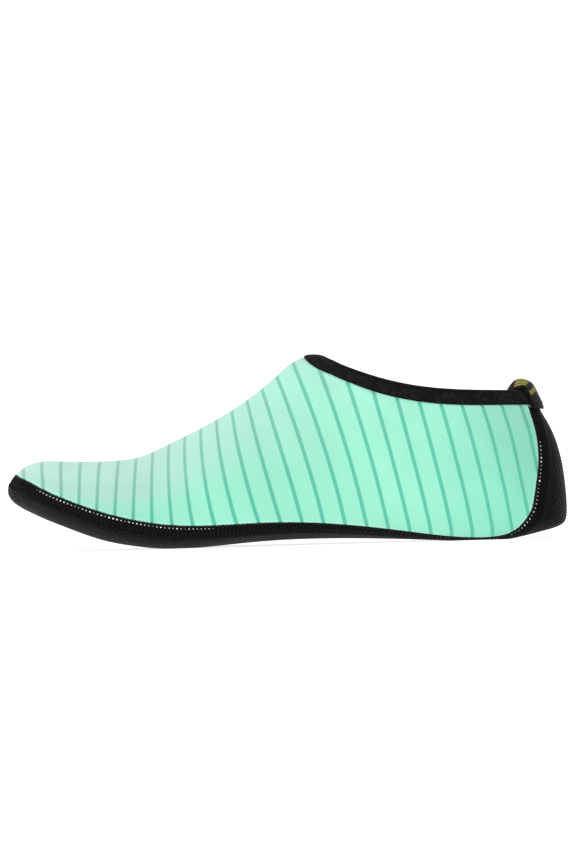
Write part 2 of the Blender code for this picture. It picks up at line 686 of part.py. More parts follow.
for thing in list(bpy.data.objects):
    bpy.data.objects.remove(thing, do_unlink=True)
bpy.context.scene.collection.children.link(bpy.data.collections.new(SHOE_NAME))
add_upper()
add_outsole()
add_seam_band()
add_collar_binding()
add_insole()
add_pull_tab()
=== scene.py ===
"""Looks of a right water shoe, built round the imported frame.

Metres, +Z up, toe toward -X, inner side of the foot toward -Y. The origin is the
middle of the flat spot under the heel. A place on the last is a pair (a, b), as
in the part's own source: rows counted from the tip of the toe, with the ridge
toward -a, the sole toward +a and the outer side of the foot toward +b.
"""
import math

import bmesh
import bpy
import numpy as np
from mathutils import Matrix


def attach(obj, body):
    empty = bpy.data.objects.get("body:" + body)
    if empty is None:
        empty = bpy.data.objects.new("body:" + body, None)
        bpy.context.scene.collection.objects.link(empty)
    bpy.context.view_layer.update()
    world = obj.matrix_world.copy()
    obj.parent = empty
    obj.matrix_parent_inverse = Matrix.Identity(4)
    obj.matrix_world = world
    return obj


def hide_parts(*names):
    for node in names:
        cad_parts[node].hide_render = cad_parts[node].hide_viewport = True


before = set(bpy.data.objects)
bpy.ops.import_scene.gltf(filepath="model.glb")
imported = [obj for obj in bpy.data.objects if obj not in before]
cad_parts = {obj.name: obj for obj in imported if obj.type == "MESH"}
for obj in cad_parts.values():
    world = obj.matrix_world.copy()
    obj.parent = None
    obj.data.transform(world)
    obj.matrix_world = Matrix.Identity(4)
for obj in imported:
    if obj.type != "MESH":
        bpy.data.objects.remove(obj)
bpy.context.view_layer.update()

# Sizes of the last, as in the part's source
LENGTH = 0.245
BALL_WIDTH = 0.090
HEEL_WIDTH = 0.064
THROAT_HEIGHT = 0.0825
HEEL_HEIGHT = 0.066
TOE_LIFT = 0.027
HEEL_REST_SHARE = 0.835

# Sizes of the pieces, as in the part's source
UPPER_WALL = 0.0022
SOLE_WALL = 0.0030
INSOLE_THICKNESS = 0.0030
BAND_WIDTH = 0.0060
BAND_THICKNESS = 0.0010
BAND_PROUD = 0.0006
BINDING_LEG = 0.0074
THROAT_LEG = 0.0096
BINDING_THICKNESS = 0.0008
TAB_WIDTH = 0.026
TAB_THICKNESS = 0.0010
TAB_RISE = 0.0066
TAB_DEPTH = 0.0120
TAB_TAIL = 0.0024
TAB_DOME = 0.84
TAIL_LEAN = 0.50
GAP = 0.0003

# Rows of the last from the toe to the top of the collar, as in the part's source
COLUMNS = ("sole_x", "sole_z", "ridge_x", "ridge_z", "breadth", "swing", "ridge_swing",
           "widest", "sole_full", "ridge_full", "dip", "seam")
FORWARD_ROWS = (
    (0.000, 1.000, 0.000, 0.327, 0.000, -0.110, -0.110, 0.50, 2.0, 2.0, 0.0, 1.000),
    (0.004, 0.880, 0.007, 0.374, 0.210, -0.110, -0.110, 0.50, 2.0, 2.0, 0.0, 1.000),
    (0.015, 0.775, 0.019, 0.422, 0.380, -0.108, -0.112, 0.48, 2.1, 2.1, 0.0, 0.880),
    (0.036, 0.660, 0.037, 0.462, 0.540, -0.102, -0.117, 0.45, 2.3, 2.2, 0.0, 0.670),
    (0.070, 0.510, 0.070, 0.482, 0.680, -0.094, -0.122, 0.42, 2.6, 2.3, 0.0, 0.533),
    (0.120, 0.319, 0.120, 0.475, 0.810, -0.078, -0.122, 0.40, 3.0, 2.3, 0.0, 0.463),
    (0.180, 0.130, 0.180, 0.473, 0.900, -0.054, -0.117, 0.38, 3.6, 2.3, 0.0, 0.407),
    (0.250, 0.018, 0.235, 0.489, 0.965, -0.029, -0.106, 0.36, 4.2, 2.2, 0.0, 0.348),
    (0.310, -0.014, 0.280, 0.541, 1.000, -0.008, -0.090, 0.34, 4.6, 2.1, 0.0, 0.284),
    (0.380, 0.022, 0.330, 0.608, 1.000, 0.013, -0.073, 0.32, 4.6, 2.0, 0.0, 0.229),
    (0.460, 0.070, 0.375, 0.676, 0.955, 0.031, -0.056, 0.32, 4.2, 1.9, 0.0, 0.187),
    (0.550, 0.085, 0.410, 0.735, 0.880, 0.041, -0.044, 0.32, 3.8, 1.9, 0.0, 0.146),
    (0.660, 0.059, 0.445, 0.805, 0.800, 0.038, -0.033, 0.33, 3.8, 1.8, 0.0, 0.090),
)
REAR_ROWS = (
    (0.760, 0.004, 0.475, 0.873, 1.030, 0.028, -0.024, 0.35, 4.2, 1.8, 0.000, 0.042),
    (0.835, -0.008, 0.497, 0.929, 1.005, 0.016, -0.017, 0.37, 4.8, 1.85, 0.006, 0.023),
    (0.900, 0.002, 0.513, 0.966, 1.000, 0.010, -0.011, 0.38, 4.6, 1.9, 0.015, 0.026),
    (0.950, 0.039, 0.526, 0.984, 0.990, 0.006, -0.007, 0.38, 3.8, 1.9, 0.030, 0.064),
    (0.989, 0.081, 0.537, 0.994, 0.985, 0.003, -0.003, 0.38, 3.0, 1.95, 0.052, 0.111),
    (1.001, 0.165, 0.546, 0.995, 0.970, 0.000, 0.000, 0.39, 2.6, 2.0, 0.073, 0.122),
    (1.000, 0.330, 0.553, 0.995, 0.950, 0.000, 0.000, 0.40, 2.4, 2.05, 0.103, 0.106),
    (0.994, 0.515, 0.560, 0.994, 0.915, 0.000, 0.000, 0.42, 2.3, 2.1, 0.126, 0.088),
    (0.980, 0.700, 0.566, 0.993, 0.870, 0.000, 0.000, 0.43, 2.2, 2.1, 0.136, 0.070),
    (0.960, 0.845, 0.571, 0.992, 0.825, 0.000, 0.000, 0.44, 2.1, 2.2, 0.121, 0.050),
    (0.942, 0.985, 0.577, 0.991, 0.790, 0.000, 0.000, 0.45, 2.0, 2.2, 0.086, 0.043),
)
RIM_ROW = len(FORWARD_ROWS) + len(REAR_ROWS) - 1
SEAM_TOE_ROW = 1.7
BAND_END_ROW = RIM_ROW - 1.15
LEG_ROW = RIM_ROW - 1
THIN_START_ROW = RIM_ROW - 4
THIN_END_ROW = BAND_END_ROW - 1
DRAWN_ROWS = 6
THROAT_REACH = 0.16
INSOLE_ROWS = (2.2, 15.9)
INSOLE_SHARE = 0.85
INSOLE_ROUND = 6
DIP_SKEW = 1.2
MIDDLE_DRAW = 1.6
KEPT_FROM = 0.60
KEPT_TO = 0.72

# Route of the pull tab from its tail over the collar, as in the part's source:
# outward by whole faces, binding and depth, then upward by leg, tail, the
# binding's height above the wall, and the loop's rise
TAB_ROUTE = (
    (1, -TAIL_LEAN, 0.00, -1.00, -1.0, 1.0, 0.00),
    (1, 0.0, 0.00, -1.00, 0.0, 1.0, 0.00),
    (1, 0.0, 0.00, -0.50, 0.0, 0.5, 0.00),
    (1, 0.0, 0.00, 0.00, 0.0, 0.0, 0.00),
    (1, 0.0, -0.02, 0.00, 0.0, 1.0, 0.30),
    (1, 0.0, -0.20, 0.00, 0.0, 1.0, 0.78),
    (1, 0.0, -0.48, 0.00, 0.0, 1.0, 1.00),
    (1, 0.0, -0.80, 0.00, 0.0, 1.0, 0.78),
    (1, 0.0, -1.05, 0.00, 0.0, 1.0, 0.30),
    (1, 0.0, -0.95, 0.00, 0.0, 1.0, -0.25),
    (0, 0.0, -0.10, -0.30, 0.0, 0.0, 0.00),
    (0, 0.0, 0.00, -0.75, 0.0, 0.0, 0.00),
)
TAB_PEAK = 6

# How finely the looks are cut
SECTION_POINTS = 161
BATCH = 6000
PATH_POINTS = 240
WALK_STEPS = 8
STRIP_STEPS = 2
SEAM_RIBS = 190
TOP_ROWS = (-0.10, -0.05, -0.02, 0.0, 0.2, 0.5, 1.0)
UPPER_SPANS = 34
SOLE_SPANS = 16
BINDING_RIBS = 420
BINDING_LINES = 12
ARC_SPANS = 8
INSOLE_RIBS = 60
INSOLE_SPANS = 14
TAB_SPANS = 26
TAB_POINTS = 111
TAPE_STATIONS = 620
LIP_STATIONS = 900
THREAD_POINTS = 9
TREAD_STATIONS = 1200
CHART_LEVELS = 46
CHART_TOP = 0.09
STRIP_STEP = 0.0005
SLOPE_NUDGE = 0.06
WELD = 0.000004
TINY = 1e-12

# The fabric beside the seam: distance above the seam and height off the last
FABRIC_EDGE = (
    (-0.0028, -0.0007),
    (-0.0002, -0.0007),
    (0.0003, -0.0005),
    (0.0005, -0.0001),
    (0.0008, 0.0001),
    (0.0012, 0.0003),
    (0.0018, 0.0003),
    (0.0026, 0.0002),
    (0.0036, 0.0001),
)

# The sole beside the seam: distance below the seam and height off the last
SOLE_EDGE = (
    (0.0032, -0.0007),
    (0.0058, -0.0007),
    (0.0062, -0.0003),
    (0.0065, 0.0001),
    (0.0070, 0.0002),
    (0.0074, 0.0001),
)

# How the fabric swells below the binding: where the swell starts and ends, and
# its height. Then how near the seam and the binding its edge gets a painted
# highlight, as the middle and half width of a line.
SWELL_START = (0.0002, 0.0012)
SWELL_END = (0.0016, 0.0050)
SWELL_HEIGHT = 0.00032
CREASE_START = 0.004
SEAM_LINE = (0.0010, 0.0007)
LEG_LINE = (0.0007, 0.0006)

# Stripes of the print: their number, and for heights of 5, 20, 35, 50, 65 and
# 80 mm their place as a share of the length
STRIPE_HEIGHTS = (0.005, 0.020, 0.035, 0.050, 0.065, 0.080)
STRIPE_CHART = (
    (-1, 0.049, 0.042, 0.031, 0.024, 0.019, 0.014),
    (2, 0.127, 0.130, 0.132, 0.135, 0.138, 0.141),
    (5, 0.224, 0.227, 0.231, 0.234, 0.238, 0.242),
    (8, 0.334, 0.325, 0.320, 0.320, 0.326, 0.332),
    (11, 0.454, 0.437, 0.422, 0.410, 0.402, 0.396),
    (14, 0.567, 0.554, 0.538, 0.520, 0.500, 0.478),
    (17, 0.680, 0.667, 0.653, 0.637, 0.620, 0.602),
    (20, 0.791, 0.779, 0.765, 0.751, 0.736, 0.721),
    (23, 0.899, 0.889, 0.877, 0.863, 0.843, 0.819),
    (26, 0.992, 0.984, 0.975, 0.965, 0.942, 0.910),
)

# Painted light on the printed fabric, by the place along the shoe where each begins
# and ends: a painted sheen that pales up-facing fabric toward the toe and on the
# instep, a painted shade toward the heel, and a painted shade on the lower side of the toe
PAINTED_SHEEN_ENDS = (-0.165, -0.095)
PAINTED_SHEEN_LEAN = 0.55
PAINTED_SHEEN_SLOPE = (0.10, 0.90)
PAINTED_SHEEN_INSTEP = 0.60
HEEL_SHADE_ENDS = (-0.035, 0.030)
SHADE_ENDS = (-0.170, -0.100)
SHADE_SLOPE = (0.40, 1.00)
SHADE_DEPTH = 0.19

# The print's lines, as shares of the pitch between them
STRIPE_PITCH = 0.0090
STRIPE_HALF = 0.088
STRIPE_SOFT = 0.035

# Soft troughs and ridges of the fabric: ends as shares of length and heel
# height, width and height off the surface
CREASES = (
    (0.925, 0.88, 0.955, 0.50, 0.0011, 0.00035),
    (0.912, 0.90, 0.944, 0.55, 0.0014, -0.00030),
    (0.900, 0.30, 0.935, 0.42, 0.0016, -0.00022),
    (0.885, 0.22, 0.925, 0.36, 0.0016, 0.00020),
    (0.870, 0.80, 0.905, 0.62, 0.0030, -0.00030),
    (0.560, 1.02, 0.640, 0.80, 0.0040, -0.00035),
    (0.470, 0.95, 0.540, 0.62, 0.0050, 0.00030),
    (0.300, 0.55, 0.360, 0.25, 0.0060, -0.00030),
    (0.235, 0.50, 0.250, 0.24, 0.0050, 0.00025),
    (0.420, 0.30, 0.560, 0.22, 0.0040, -0.00025),
    (0.060, 0.54, 0.090, 0.44, 0.0035, -0.00025),
)

# The seam band's tape: distance across it and height off the last
TAPE_PROFILE = (
    (0.0, 0.00002),
    (0.0004, 0.00020),
    (0.0012, 0.00028),
    (0.0024, 0.00030),
    (0.0036, 0.00030),
    (0.0048, 0.00028),
    (0.0056, 0.00020),
    (BAND_WIDTH, 0.00002),
)

# Stitches of the seam band: pitch along the seam, and the paths of one stitch
# as shares of the pitch along and metres across
STITCH_PITCH = 0.00175
THREAD_RADIUS = 0.00021
UPPER_HOOK = ((0.00, -0.0001), (0.02, 0.0008), (0.08, 0.0016), (0.20, 0.0024), (0.42, 0.0030),
              (0.62, 0.0028))
LOWER_HOOK = ((0.10, 0.0030), (0.16, 0.0037), (0.26, 0.0044), (0.44, 0.0051), (0.66, 0.0056))
HOOKS_END = 0.010
HOOK_WOBBLE = 0.10
HOOK_HEIGHTS = (0.00022, 0.00018)

# Raised spots beside the stitches: their sizes, places across the band, how much
# they vary, and where along the shoe and up the heel the pale loops show
SCALLOP_SIZE = (0.00160, 0.00105, 0.00070)
SCALLOP_ACROSS = -0.0001
SCALLOP_LIFT = 0.00012
SCALLOP_VARIES = 0.08
DOT_SIZE = (0.00070, 0.00058, 0.00042)
DOT_ACROSS = 0.0008
DOT_LIFT = 0.00034
DOT_VARIES = 0.18
DOTS_TOE = (-0.1945, -0.1885)
DOTS_WAIST = (-0.124, -0.106)
DOTS_HEEL = (0.012, 0.019)
DOTS_TOP = (0.039, 0.046)
DOT_LEAST = 0.35
LIP_RADIUS = 0.00028
LIP_ACROSS = 0.0061
LIP_LIFT = 0.00016

# Fine tread of the sole
TREAD_PITCH = 0.0012
TREAD_STEP = 0.0027
TREAD_SIZE = (0.0023, 0.0006, 0.00040)
TREAD_DEPTH = 0.00012
TREAD_MARGIN = 0.0018
HEEL_MARGIN = 0.0048
HEEL_ROWS = (RIM_ROW - 7.0, RIM_ROW - 5.0)
TREAD_LEAN = 0.35

# The binding's relief: pitch and height of its puckers, how far up they reach,
# the height of its crown, and how far its lower edge falls in
PUCKER_PITCH = 0.0027
PUCKER_HEIGHT = 0.00010
PUCKER_REACH = 0.16
CROWN_HEIGHT = 0.00030
FOOT_FALL = 0.00050
FOOT_REACH = 0.14

# The ribbon's edges: share and width of the thicker selvedge, the same for the
# fold under the loop with the route's points where it starts and ends, and how
# thin the tail is up to its last point
SELVEDGE = (0.35, 0.0009)
FOLD = (1.8, 0.0013)
FOLD_START = (3.8, 5.0)
FOLD_END = (8.2, 9.4)
TAIL_THIN = 0.45
TAIL_POINT = 2.5
TAB_SEAMS = (0.0012, 0.0026)
TAB_STITCH = (2.2, 1.7)
TAB_STITCH_POINTS = 6
TAB_THREAD = 0.00016

# Generic bars woven into the pull tab: start and end along it, from the top
# of the loop, with the half width across and the pitch of the bars
BAR_SPANS = ((0.0000, 0.0062), (0.0092, 0.0112))
BAR_REACH = 0.0112
BAR_PITCH = 0.0019
BAR_SOFT = 0.0003

# The photograph's frame: picture size, the shoe's length in it, and the roll
FRAME_PIXELS = (576, 864)
SHOE_PIXELS = 557.0
ROLL = math.radians(-1.6)
AIM_X_SHARE = 0.5044
AIM_HEIGHT = 0.0496
CAMERA_DISTANCE = 4.0
SENSOR = 0.036

# The studio: its side and front edges, depth, height, and the bend between floor
# and wall, then each lamp with its place, size and power
STUDIO_REACH = 7.0
STUDIO_DEPTH = 6.0
STUDIO_HEIGHT = 5.0
STUDIO_BEND = 1.5
BEND_STEPS = 12
GLOW = 0.78
LAMPS = (
    ("key_lamp", (-1.00, -1.10, 0.60), (0.9, 0.9), 9.5),
    ("front_lamp", (-0.10, -1.60, 0.35), (1.2, 0.6), 3.0),
    ("top_lamp", (-0.3, 0.1, 1.4), (1.2, 1.2), 2.0),
    ("instep_lamp", (-1.1, -0.4, 1.0), (0.8, 0.8), 2.0),
)

SEED = 7


def natural_spline(knots, values):
    """Return a smooth curve through the values, straight at both ends."""
    count = len(knots)
    steps = np.diff(knots)
    matrix = np.eye(count)
    right = np.zeros(count)
    for i in range(1, count - 1):
        matrix[i, i - 1] = steps[i - 1]
        matrix[i, i] = 2.0 * (steps[i - 1] + steps[i])
        matrix[i, i + 1] = steps[i]
        right[i] = 6.0 * ((values[i + 1] - values[i]) / steps[i]
                          - (values[i] - values[i - 1]) / steps[i - 1])
    bends = np.linalg.solve(matrix, right)

    def curve(at):
        at = np.clip(at, knots[0], knots[-1])
        i = np.clip(np.searchsorted(knots, at) - 1, 0, count - 2)
        step = steps[i]
        low = (knots[i + 1] - at) / step
        high = (at - knots[i]) / step
        return (low * values[i] + high * values[i + 1]
                + ((low ** 3 - low) * bends[i] + (high ** 3 - high) * bends[i + 1]) * step ** 2 / 6.0)

    return curve


def ease(part):
    """Smooth step from 0 to 1."""
    return part * part * (3.0 - 2.0 * part)


def section_lengths():
    """Turn the two tables of shares into one table of lengths."""
    table = dict(zip(COLUMNS, np.array(FORWARD_ROWS + REAR_ROWS).T))
    forward = np.arange(RIM_ROW + 1) < len(FORWARD_ROWS)
    for name in ("sole_x", "ridge_x"):
        table[name] = (table[name] - HEEL_REST_SHARE) * LENGTH
    sizes = {"sole_z": np.where(forward, TOE_LIFT, HEEL_HEIGHT), "ridge_z": THROAT_HEIGHT,
             "breadth": 0.5 * np.where(forward, BALL_WIDTH, HEEL_WIDTH), "swing": BALL_WIDTH,
             "ridge_swing": BALL_WIDTH, "dip": HEEL_HEIGHT}
    for name, size in sizes.items():
        table[name] = table[name] * size
    table["ridge_z"][0] = table["sole_z"][0]
    return table


def last_curves():
    """Return a smooth curve for each column, the side outline being one curve."""
    table = section_lengths()
    rows = np.arange(RIM_ROW + 1, dtype=float)
    around = np.arange(-RIM_ROW, RIM_ROW + 1, dtype=float)
    curves = {name: natural_spline(rows, table[name])
              for name in ("breadth", "widest", "sole_full", "ridge_full", "dip")}
    for axis in ("x", "z"):
        joined = np.concatenate([table["ridge_" + axis][:0:-1], table["sole_" + axis]])
        curves["outline_" + axis] = natural_spline(around, joined)
    joined = np.concatenate([table["ridge_swing"][:0:-1], table["swing"]])
    curves["swing"] = natural_spline(around, joined)
    seam_rows = np.concatenate([[SEAM_TOE_ROW], rows[2:]])
    seam_shares = np.concatenate([[1.0], table["seam"][2:]])
    curves["seam"] = natural_spline(seam_rows, seam_shares)
    return curves


CURVES = last_curves()


def sections(row, side):
    """Points along the sections, sole to ridge, and their shares of the way up."""
    row = np.asarray(row, dtype=float)[:, None]
    side = np.asarray(side, dtype=float)[:, None]
    turn = np.linspace(0.0, math.pi, SECTION_POINTS)[None, :]
    lower = turn < 0.5 * math.pi
    full = np.where(lower, CURVES["sole_full"](row), CURVES["ridge_full"](row))
    cosine = np.abs(np.cos(turn))
    sine = np.sin(turn)
    reach = (cosine ** full + sine ** full) ** (-1.0 / full)
    widest = CURVES["widest"](row)
    share = np.where(lower, widest * (1.0 - reach * cosine), widest + (1.0 - widest) * reach * cosine)
    share[:, -1] = 1.0
    sole_x = CURVES["outline_x"](row)
    sole_z = CURVES["outline_z"](row)
    rise_x = CURVES["outline_x"](-row) - sole_x
    rise_z = CURVES["outline_z"](-row) - sole_z
    chord = np.maximum(np.hypot(rise_x, rise_z), TINY)
    sag = CURVES["dip"](row) * np.sin(math.pi * share ** DIP_SKEW)
    middle = CURVES["swing"](row) * (1.0 - ease(share)) + CURVES["swing"](-row) * ease(share)
    x = sole_x + rise_x * share - sag * rise_z / chord
    y = middle + side * CURVES["breadth"](row) * reach * sine
    z = sole_z + rise_z * share + sag * rise_x / chord
    return np.stack([x, y, z], axis=-1), share


def along(points):
    """Length run through at each point of a batch of lines."""
    steps = np.linalg.norm(np.diff(points, axis=1), axis=2)
    return np.concatenate([np.zeros((len(points), 1)), np.cumsum(steps, axis=1)], axis=1)


def some_points(a, b):
    """Points of the last at one batch of places."""
    row = np.hypot(a, b)
    turn = np.arctan2(b, -a) / math.pi
    points, _ = sections(row, np.where(turn < 0.0, -1.0, 1.0))
    run = along(points)
    target = (1.0 - np.abs(turn)) * run[:, -1]
    upper = np.clip(np.sum(run < target[:, None], axis=1), 1, SECTION_POINTS - 1)
    index = np.arange(len(target))
    before = run[index, upper - 1]
    width = np.maximum(run[index, upper] - before, TINY)
    part = np.clip((target - before) / width, 0.0, 1.0)[:, None]
    return points[index, upper - 1] * (1.0 - part) + points[index, upper] * part


def last_point(a, b):
    """Point of the last at the places (a, b)."""
    return np.concatenate([some_points(a[i:i + BATCH], b[i:i + BATCH]) for i in range(0, len(a), BATCH)])


def slopes(a, b):
    """Change of the last's point with a and with b."""
    keep = np.minimum(1.0, (RIM_ROW - SLOPE_NUDGE) / np.maximum(np.hypot(a, b), 1.0))
    a = a * keep
    b = b * keep
    by_a = last_point(a + SLOPE_NUDGE, b) - last_point(a - SLOPE_NUDGE, b)
    by_b = last_point(a, b + SLOPE_NUDGE) - last_point(a, b - SLOPE_NUDGE)
    return by_a / (2.0 * SLOPE_NUDGE), by_b / (2.0 * SLOPE_NUDGE)


def unit(vectors):
    """Vectors of length one in the same directions."""
    return vectors / np.maximum(np.linalg.norm(vectors, axis=-1, keepdims=True), TINY)


def outward(a, b):
    """Normal of the last, pointing out of the shoe."""
    by_a, by_b = slopes(a, b)
    return unit(np.cross(by_b, by_a))


def walk(a, b, distance, closed=False, steps=WALK_STEPS):
    """Move a line of places sideways over the last by a distance, sole side first."""
    a = np.array(a, dtype=float)
    b = np.array(b, dtype=float)
    step = np.asarray(distance, dtype=float) / steps * np.ones_like(a)
    for _ in range(steps):
        points = last_point(a, b)
        if closed:
            tangent = np.roll(points, -1, axis=0) - np.roll(points, 1, axis=0)
        else:
            tangent = np.gradient(points, axis=0)
        by_a, by_b = slopes(a, b)
        across = unit(np.cross(unit(np.cross(by_b, by_a)), unit(tangent)))
        aa = np.sum(by_a * by_a, axis=1)
        ab = np.sum(by_a * by_b, axis=1)
        bb = np.sum(by_b * by_b, axis=1)
        right_a = np.sum(by_a * across, axis=1) * step
        right_b = np.sum(by_b * across, axis=1) * step
        whole = aa * bb - ab * ab
        a += (right_a * bb - right_b * ab) / whole
        b += (right_b * aa - right_a * ab) / whole
    over = np.minimum(1.0, RIM_ROW / np.maximum(np.hypot(a, b), 1.0))
    return a * over, b * over


def seam_line():
    """Places of the upper's lower edge, from the inner heel round the toe."""
    share = np.linspace(0.0, 1.0, PATH_POINTS)
    row = SEAM_TOE_ROW + (RIM_ROW - SEAM_TOE_ROW) * share ** 2
    level = CURVES["seam"](row)
    points, way = sections(row, np.ones_like(row))
    run = along(points)
    turn = np.array([1.0 - np.interp(level[i], way[i], run[i]) / run[i, -1] for i in range(len(row))])
    turn[0] = 0.0
    outer_a = -row * np.cos(math.pi * turn)
    outer_b = row * np.sin(math.pi * turn)
    a = np.concatenate([outer_a[:0:-1], outer_a])
    b = np.concatenate([-outer_b[:0:-1], outer_b])
    return a, b


def halves(a, b):
    """Split a line beside the seam at the toe, each half running from toe to heel."""
    middle = len(a) // 2
    return (a[middle::-1], b[middle::-1]), (a[middle:], b[middle:])


def collar_line(distance, count):
    """Closed line of places below the collar's top, from the heel round the inner side."""
    turn = np.linspace(-1.0, 1.0, count, endpoint=False)
    a = -RIM_ROW * np.cos(math.pi * turn)
    b = RIM_ROW * np.sin(math.pi * turn)
    return turn, walk(a, b, distance(turn), closed=True)


def leg_length(turn):
    """Depth of the collar binding, deeper where it lies level at the throat."""
    near = np.clip(1.0 - np.abs(turn) / THROAT_REACH, 0.0, 1.0)
    return BINDING_LEG + (THROAT_LEG - BINDING_LEG) * ease(near)


def wall_top(turn):
    """How far below the collar's top the upper's own edge ends."""
    return (0.5 * UPPER_WALL + GAP + BINDING_THICKNESS) * np.ones_like(turn)


def row_line(distance):
    """Row that lies at a distance below the collar's top, for each turn."""
    _, (a, b) = collar_line(distance, PATH_POINTS)
    turn = np.arctan2(b, -a) / math.pi
    order = np.argsort(turn)
    return turn[order], np.hypot(a, b)[order]


SEAM = seam_line()
EDGE_ROWS = row_line(wall_top)
LEG_ROWS = row_line(leg_length)


def under_collar(a, b):
    """Draw rows near the rim to the binding's lower edge and to the upper's edge."""
    row = np.hypot(a, b)
    turn = np.arctan2(b, -a) / math.pi
    top = np.interp(turn, *EDGE_ROWS, period=2.0)
    low = np.interp(turn, *LEG_ROWS, period=2.0)
    start = LEG_ROW - DRAWN_ROWS
    part = (row - start) / DRAWN_ROWS
    below = start + (low - start) * part
    above = low + (top - low) * (row - LEG_ROW) / (RIM_ROW - LEG_ROW)
    drawn = np.where(row > LEG_ROW, above, np.where(row > start, below, row))
    scale = drawn / np.maximum(row, TINY)
    return a * scale, b * scale


def rib_marks():
    """Where the ribs start on each half of the seam, as fractions of its points."""
    marks = []
    for a, b in halves(*SEAM):
        row = np.hypot(a, b)
        index = np.arange(len(a), dtype=float)
        run = along(last_point(a, b)[None])[0] + along(last_point(row, np.zeros_like(row))[None])[0]
        end = np.interp(BAND_END_ROW, row, run)
        even = np.interp(np.linspace(0.0, end, SEAM_RIBS + 1), run, index)
        top = np.interp([LEG_ROW + extra for extra in TOP_ROWS], row, index)
        marks.append(np.concatenate([even, top]))
    return marks


MARKS = rib_marks()


def beside_seam(distance):
    """Starts of all ribs on a line beside the seam, for the inner and outer side."""
    a, b = walk(*SEAM, distance)
    sides = []
    for (side_a, side_b), mark in zip(halves(a, b), MARKS):
        index = np.arange(len(side_a))
        sides.append((np.interp(mark, index, side_a), np.interp(mark, index, side_b)))
    return sides


def ribs(distances, spans, inside):
    """Grid of places, each line running from seam to seam."""
    edges = [beside_seam(distance) for distance in distances]
    columns = []
    for side in (0, 1):
        lines = [edge[side] for edge in edges]
        for k in range(1, spans + 1):
            lines.append(inside(edges[-1], side, k / spans))
        if side:
            lines = lines[-2::-1]
        columns += lines
    a, b = [np.stack([line[i] for line in columns], axis=1) for i in (0, 1)]
    return under_collar(a, b)


def over_ridge(ends, side, part):
    """Places a part of the way from the upper's edge to the ridge."""
    rows = [np.hypot(*end) for end in ends]
    row = rows[side] * (1.0 - part) + 0.5 * (rows[0] + rows[1]) * part
    turn = np.arctan2(ends[side][1], -ends[side][0]) / math.pi * (1.0 - part)
    return -row * np.cos(math.pi * turn), row * np.sin(math.pi * turn)


def under_foot(ends, side, part):
    """Places a part of the way from the sole's edge to its middle line, kept to the sections at the heel."""
    middle = 0.0
    for a, b in ends:
        turn = np.abs(np.arctan2(b, -a)) / math.pi
        middle = middle - 0.5 * np.hypot(a, b) * np.cos(math.pi * np.minimum(1.0, MIDDLE_DRAW * turn))
    a, b = ends[side]
    row = np.hypot(a, b) * (1.0 - part) + middle * part
    turn = np.arctan2(b, -a) / math.pi
    bent = turn * (1.0 - part) + np.sign(turn) * part
    kept = ease(np.clip((np.abs(turn) - KEPT_FROM) / (KEPT_TO - KEPT_FROM), 0.0, 1.0))
    straight_a = a * (1.0 - part) + middle * part
    straight_b = b * (1.0 - part)
    new_a = straight_a * (1.0 - kept) - row * np.cos(math.pi * bent) * kept
    new_b = straight_b * (1.0 - kept) + row * np.sin(math.pi * bent) * kept
    return new_a, new_b


def surface(places):
    """Points and normals of the last at a grid of places."""
    a, b = places
    shape = a.shape + (3,)
    return last_point(a.ravel(), b.ravel()).reshape(shape), outward(a.ravel(), b.ravel()).reshape(shape)


def on_floor(points, height=0.0):
    """Keep points from going below a height."""
    points[..., 2] = np.maximum(points[..., 2], height)
    return points


def hump(value, low, high):
    """Smooth rise from 0 to 1 between two values."""
    return ease(np.clip((value - low) / (high - low), 0.0, 1.0))


def mesh_object(name, points, faces, marks=None):
    """Object from welded points and faces, closed, outward and smooth, with its marks as attributes."""
    data = bpy.data.meshes.new(name)
    data.from_pydata(points.tolist(), [], faces.tolist())
    for key, values in (marks or {}).items():
        data.attributes.new(key, "FLOAT", "POINT").data.foreach_set("value", values.astype(np.float32))
    mesh = bmesh.new()
    mesh.from_mesh(data)
    bmesh.ops.remove_doubles(mesh, verts=mesh.verts, dist=WELD)
    bmesh.ops.recalc_face_normals(mesh, faces=mesh.faces)
    mesh.to_mesh(data)
    mesh.free()
    data.shade_smooth()
    piece = bpy.data.objects.new(name, data)
    bpy.context.scene.collection.objects.link(piece)
    return piece


def shell(name, outer, inner, folded=False, ring=False, marks=None):
    """Closed piece between two grids of points of the same size.

    A folded shell has its first line doubled back on itself at the toe. A ring's
    last line is followed by its first. The mark "outside" is 1 on the outer grid.
    """
    lines, columns = outer.shape[:2]
    top = np.arange(lines * columns).reshape(lines, columns)
    bottom = top + lines * columns
    if ring:
        top = np.concatenate([top, top[:1]])
        bottom = np.concatenate([bottom, bottom[:1]])
    edge = (slice(None), 0), (slice(None), -1)
    faces = [quads(top), quads(bottom)[:, ::-1]]
    for place, turned in zip(edge, (True, False)):
        wall = np.stack([bottom[place], top[place]] if turned else [top[place], bottom[place]], axis=1)
        faces.append(quads(wall))
    if not ring:
        ends = (-1,) if folded else (0, -1)
        for end in ends:
            pair = (top[end], bottom[end]) if end else (bottom[end], top[end])
            faces.append(quads(np.stack(pair, axis=0)))
    points = np.concatenate([outer.reshape(-1, 3), inner.reshape(-1, 3)])
    doubled = {key: np.tile(values.ravel(), 2) for key, values in (marks or {}).items()}
    doubled["outside"] = np.repeat((1.0, 0.0), lines * columns)
    return mesh_object(name, points, np.concatenate(faces), doubled)


def quads(index):
    """Quads of a grid of point numbers."""
    return np.stack([index[:-1, :-1], index[:-1, 1:], index[1:, 1:], index[1:, :-1]], axis=-1).reshape(-1, 4)


# Materials


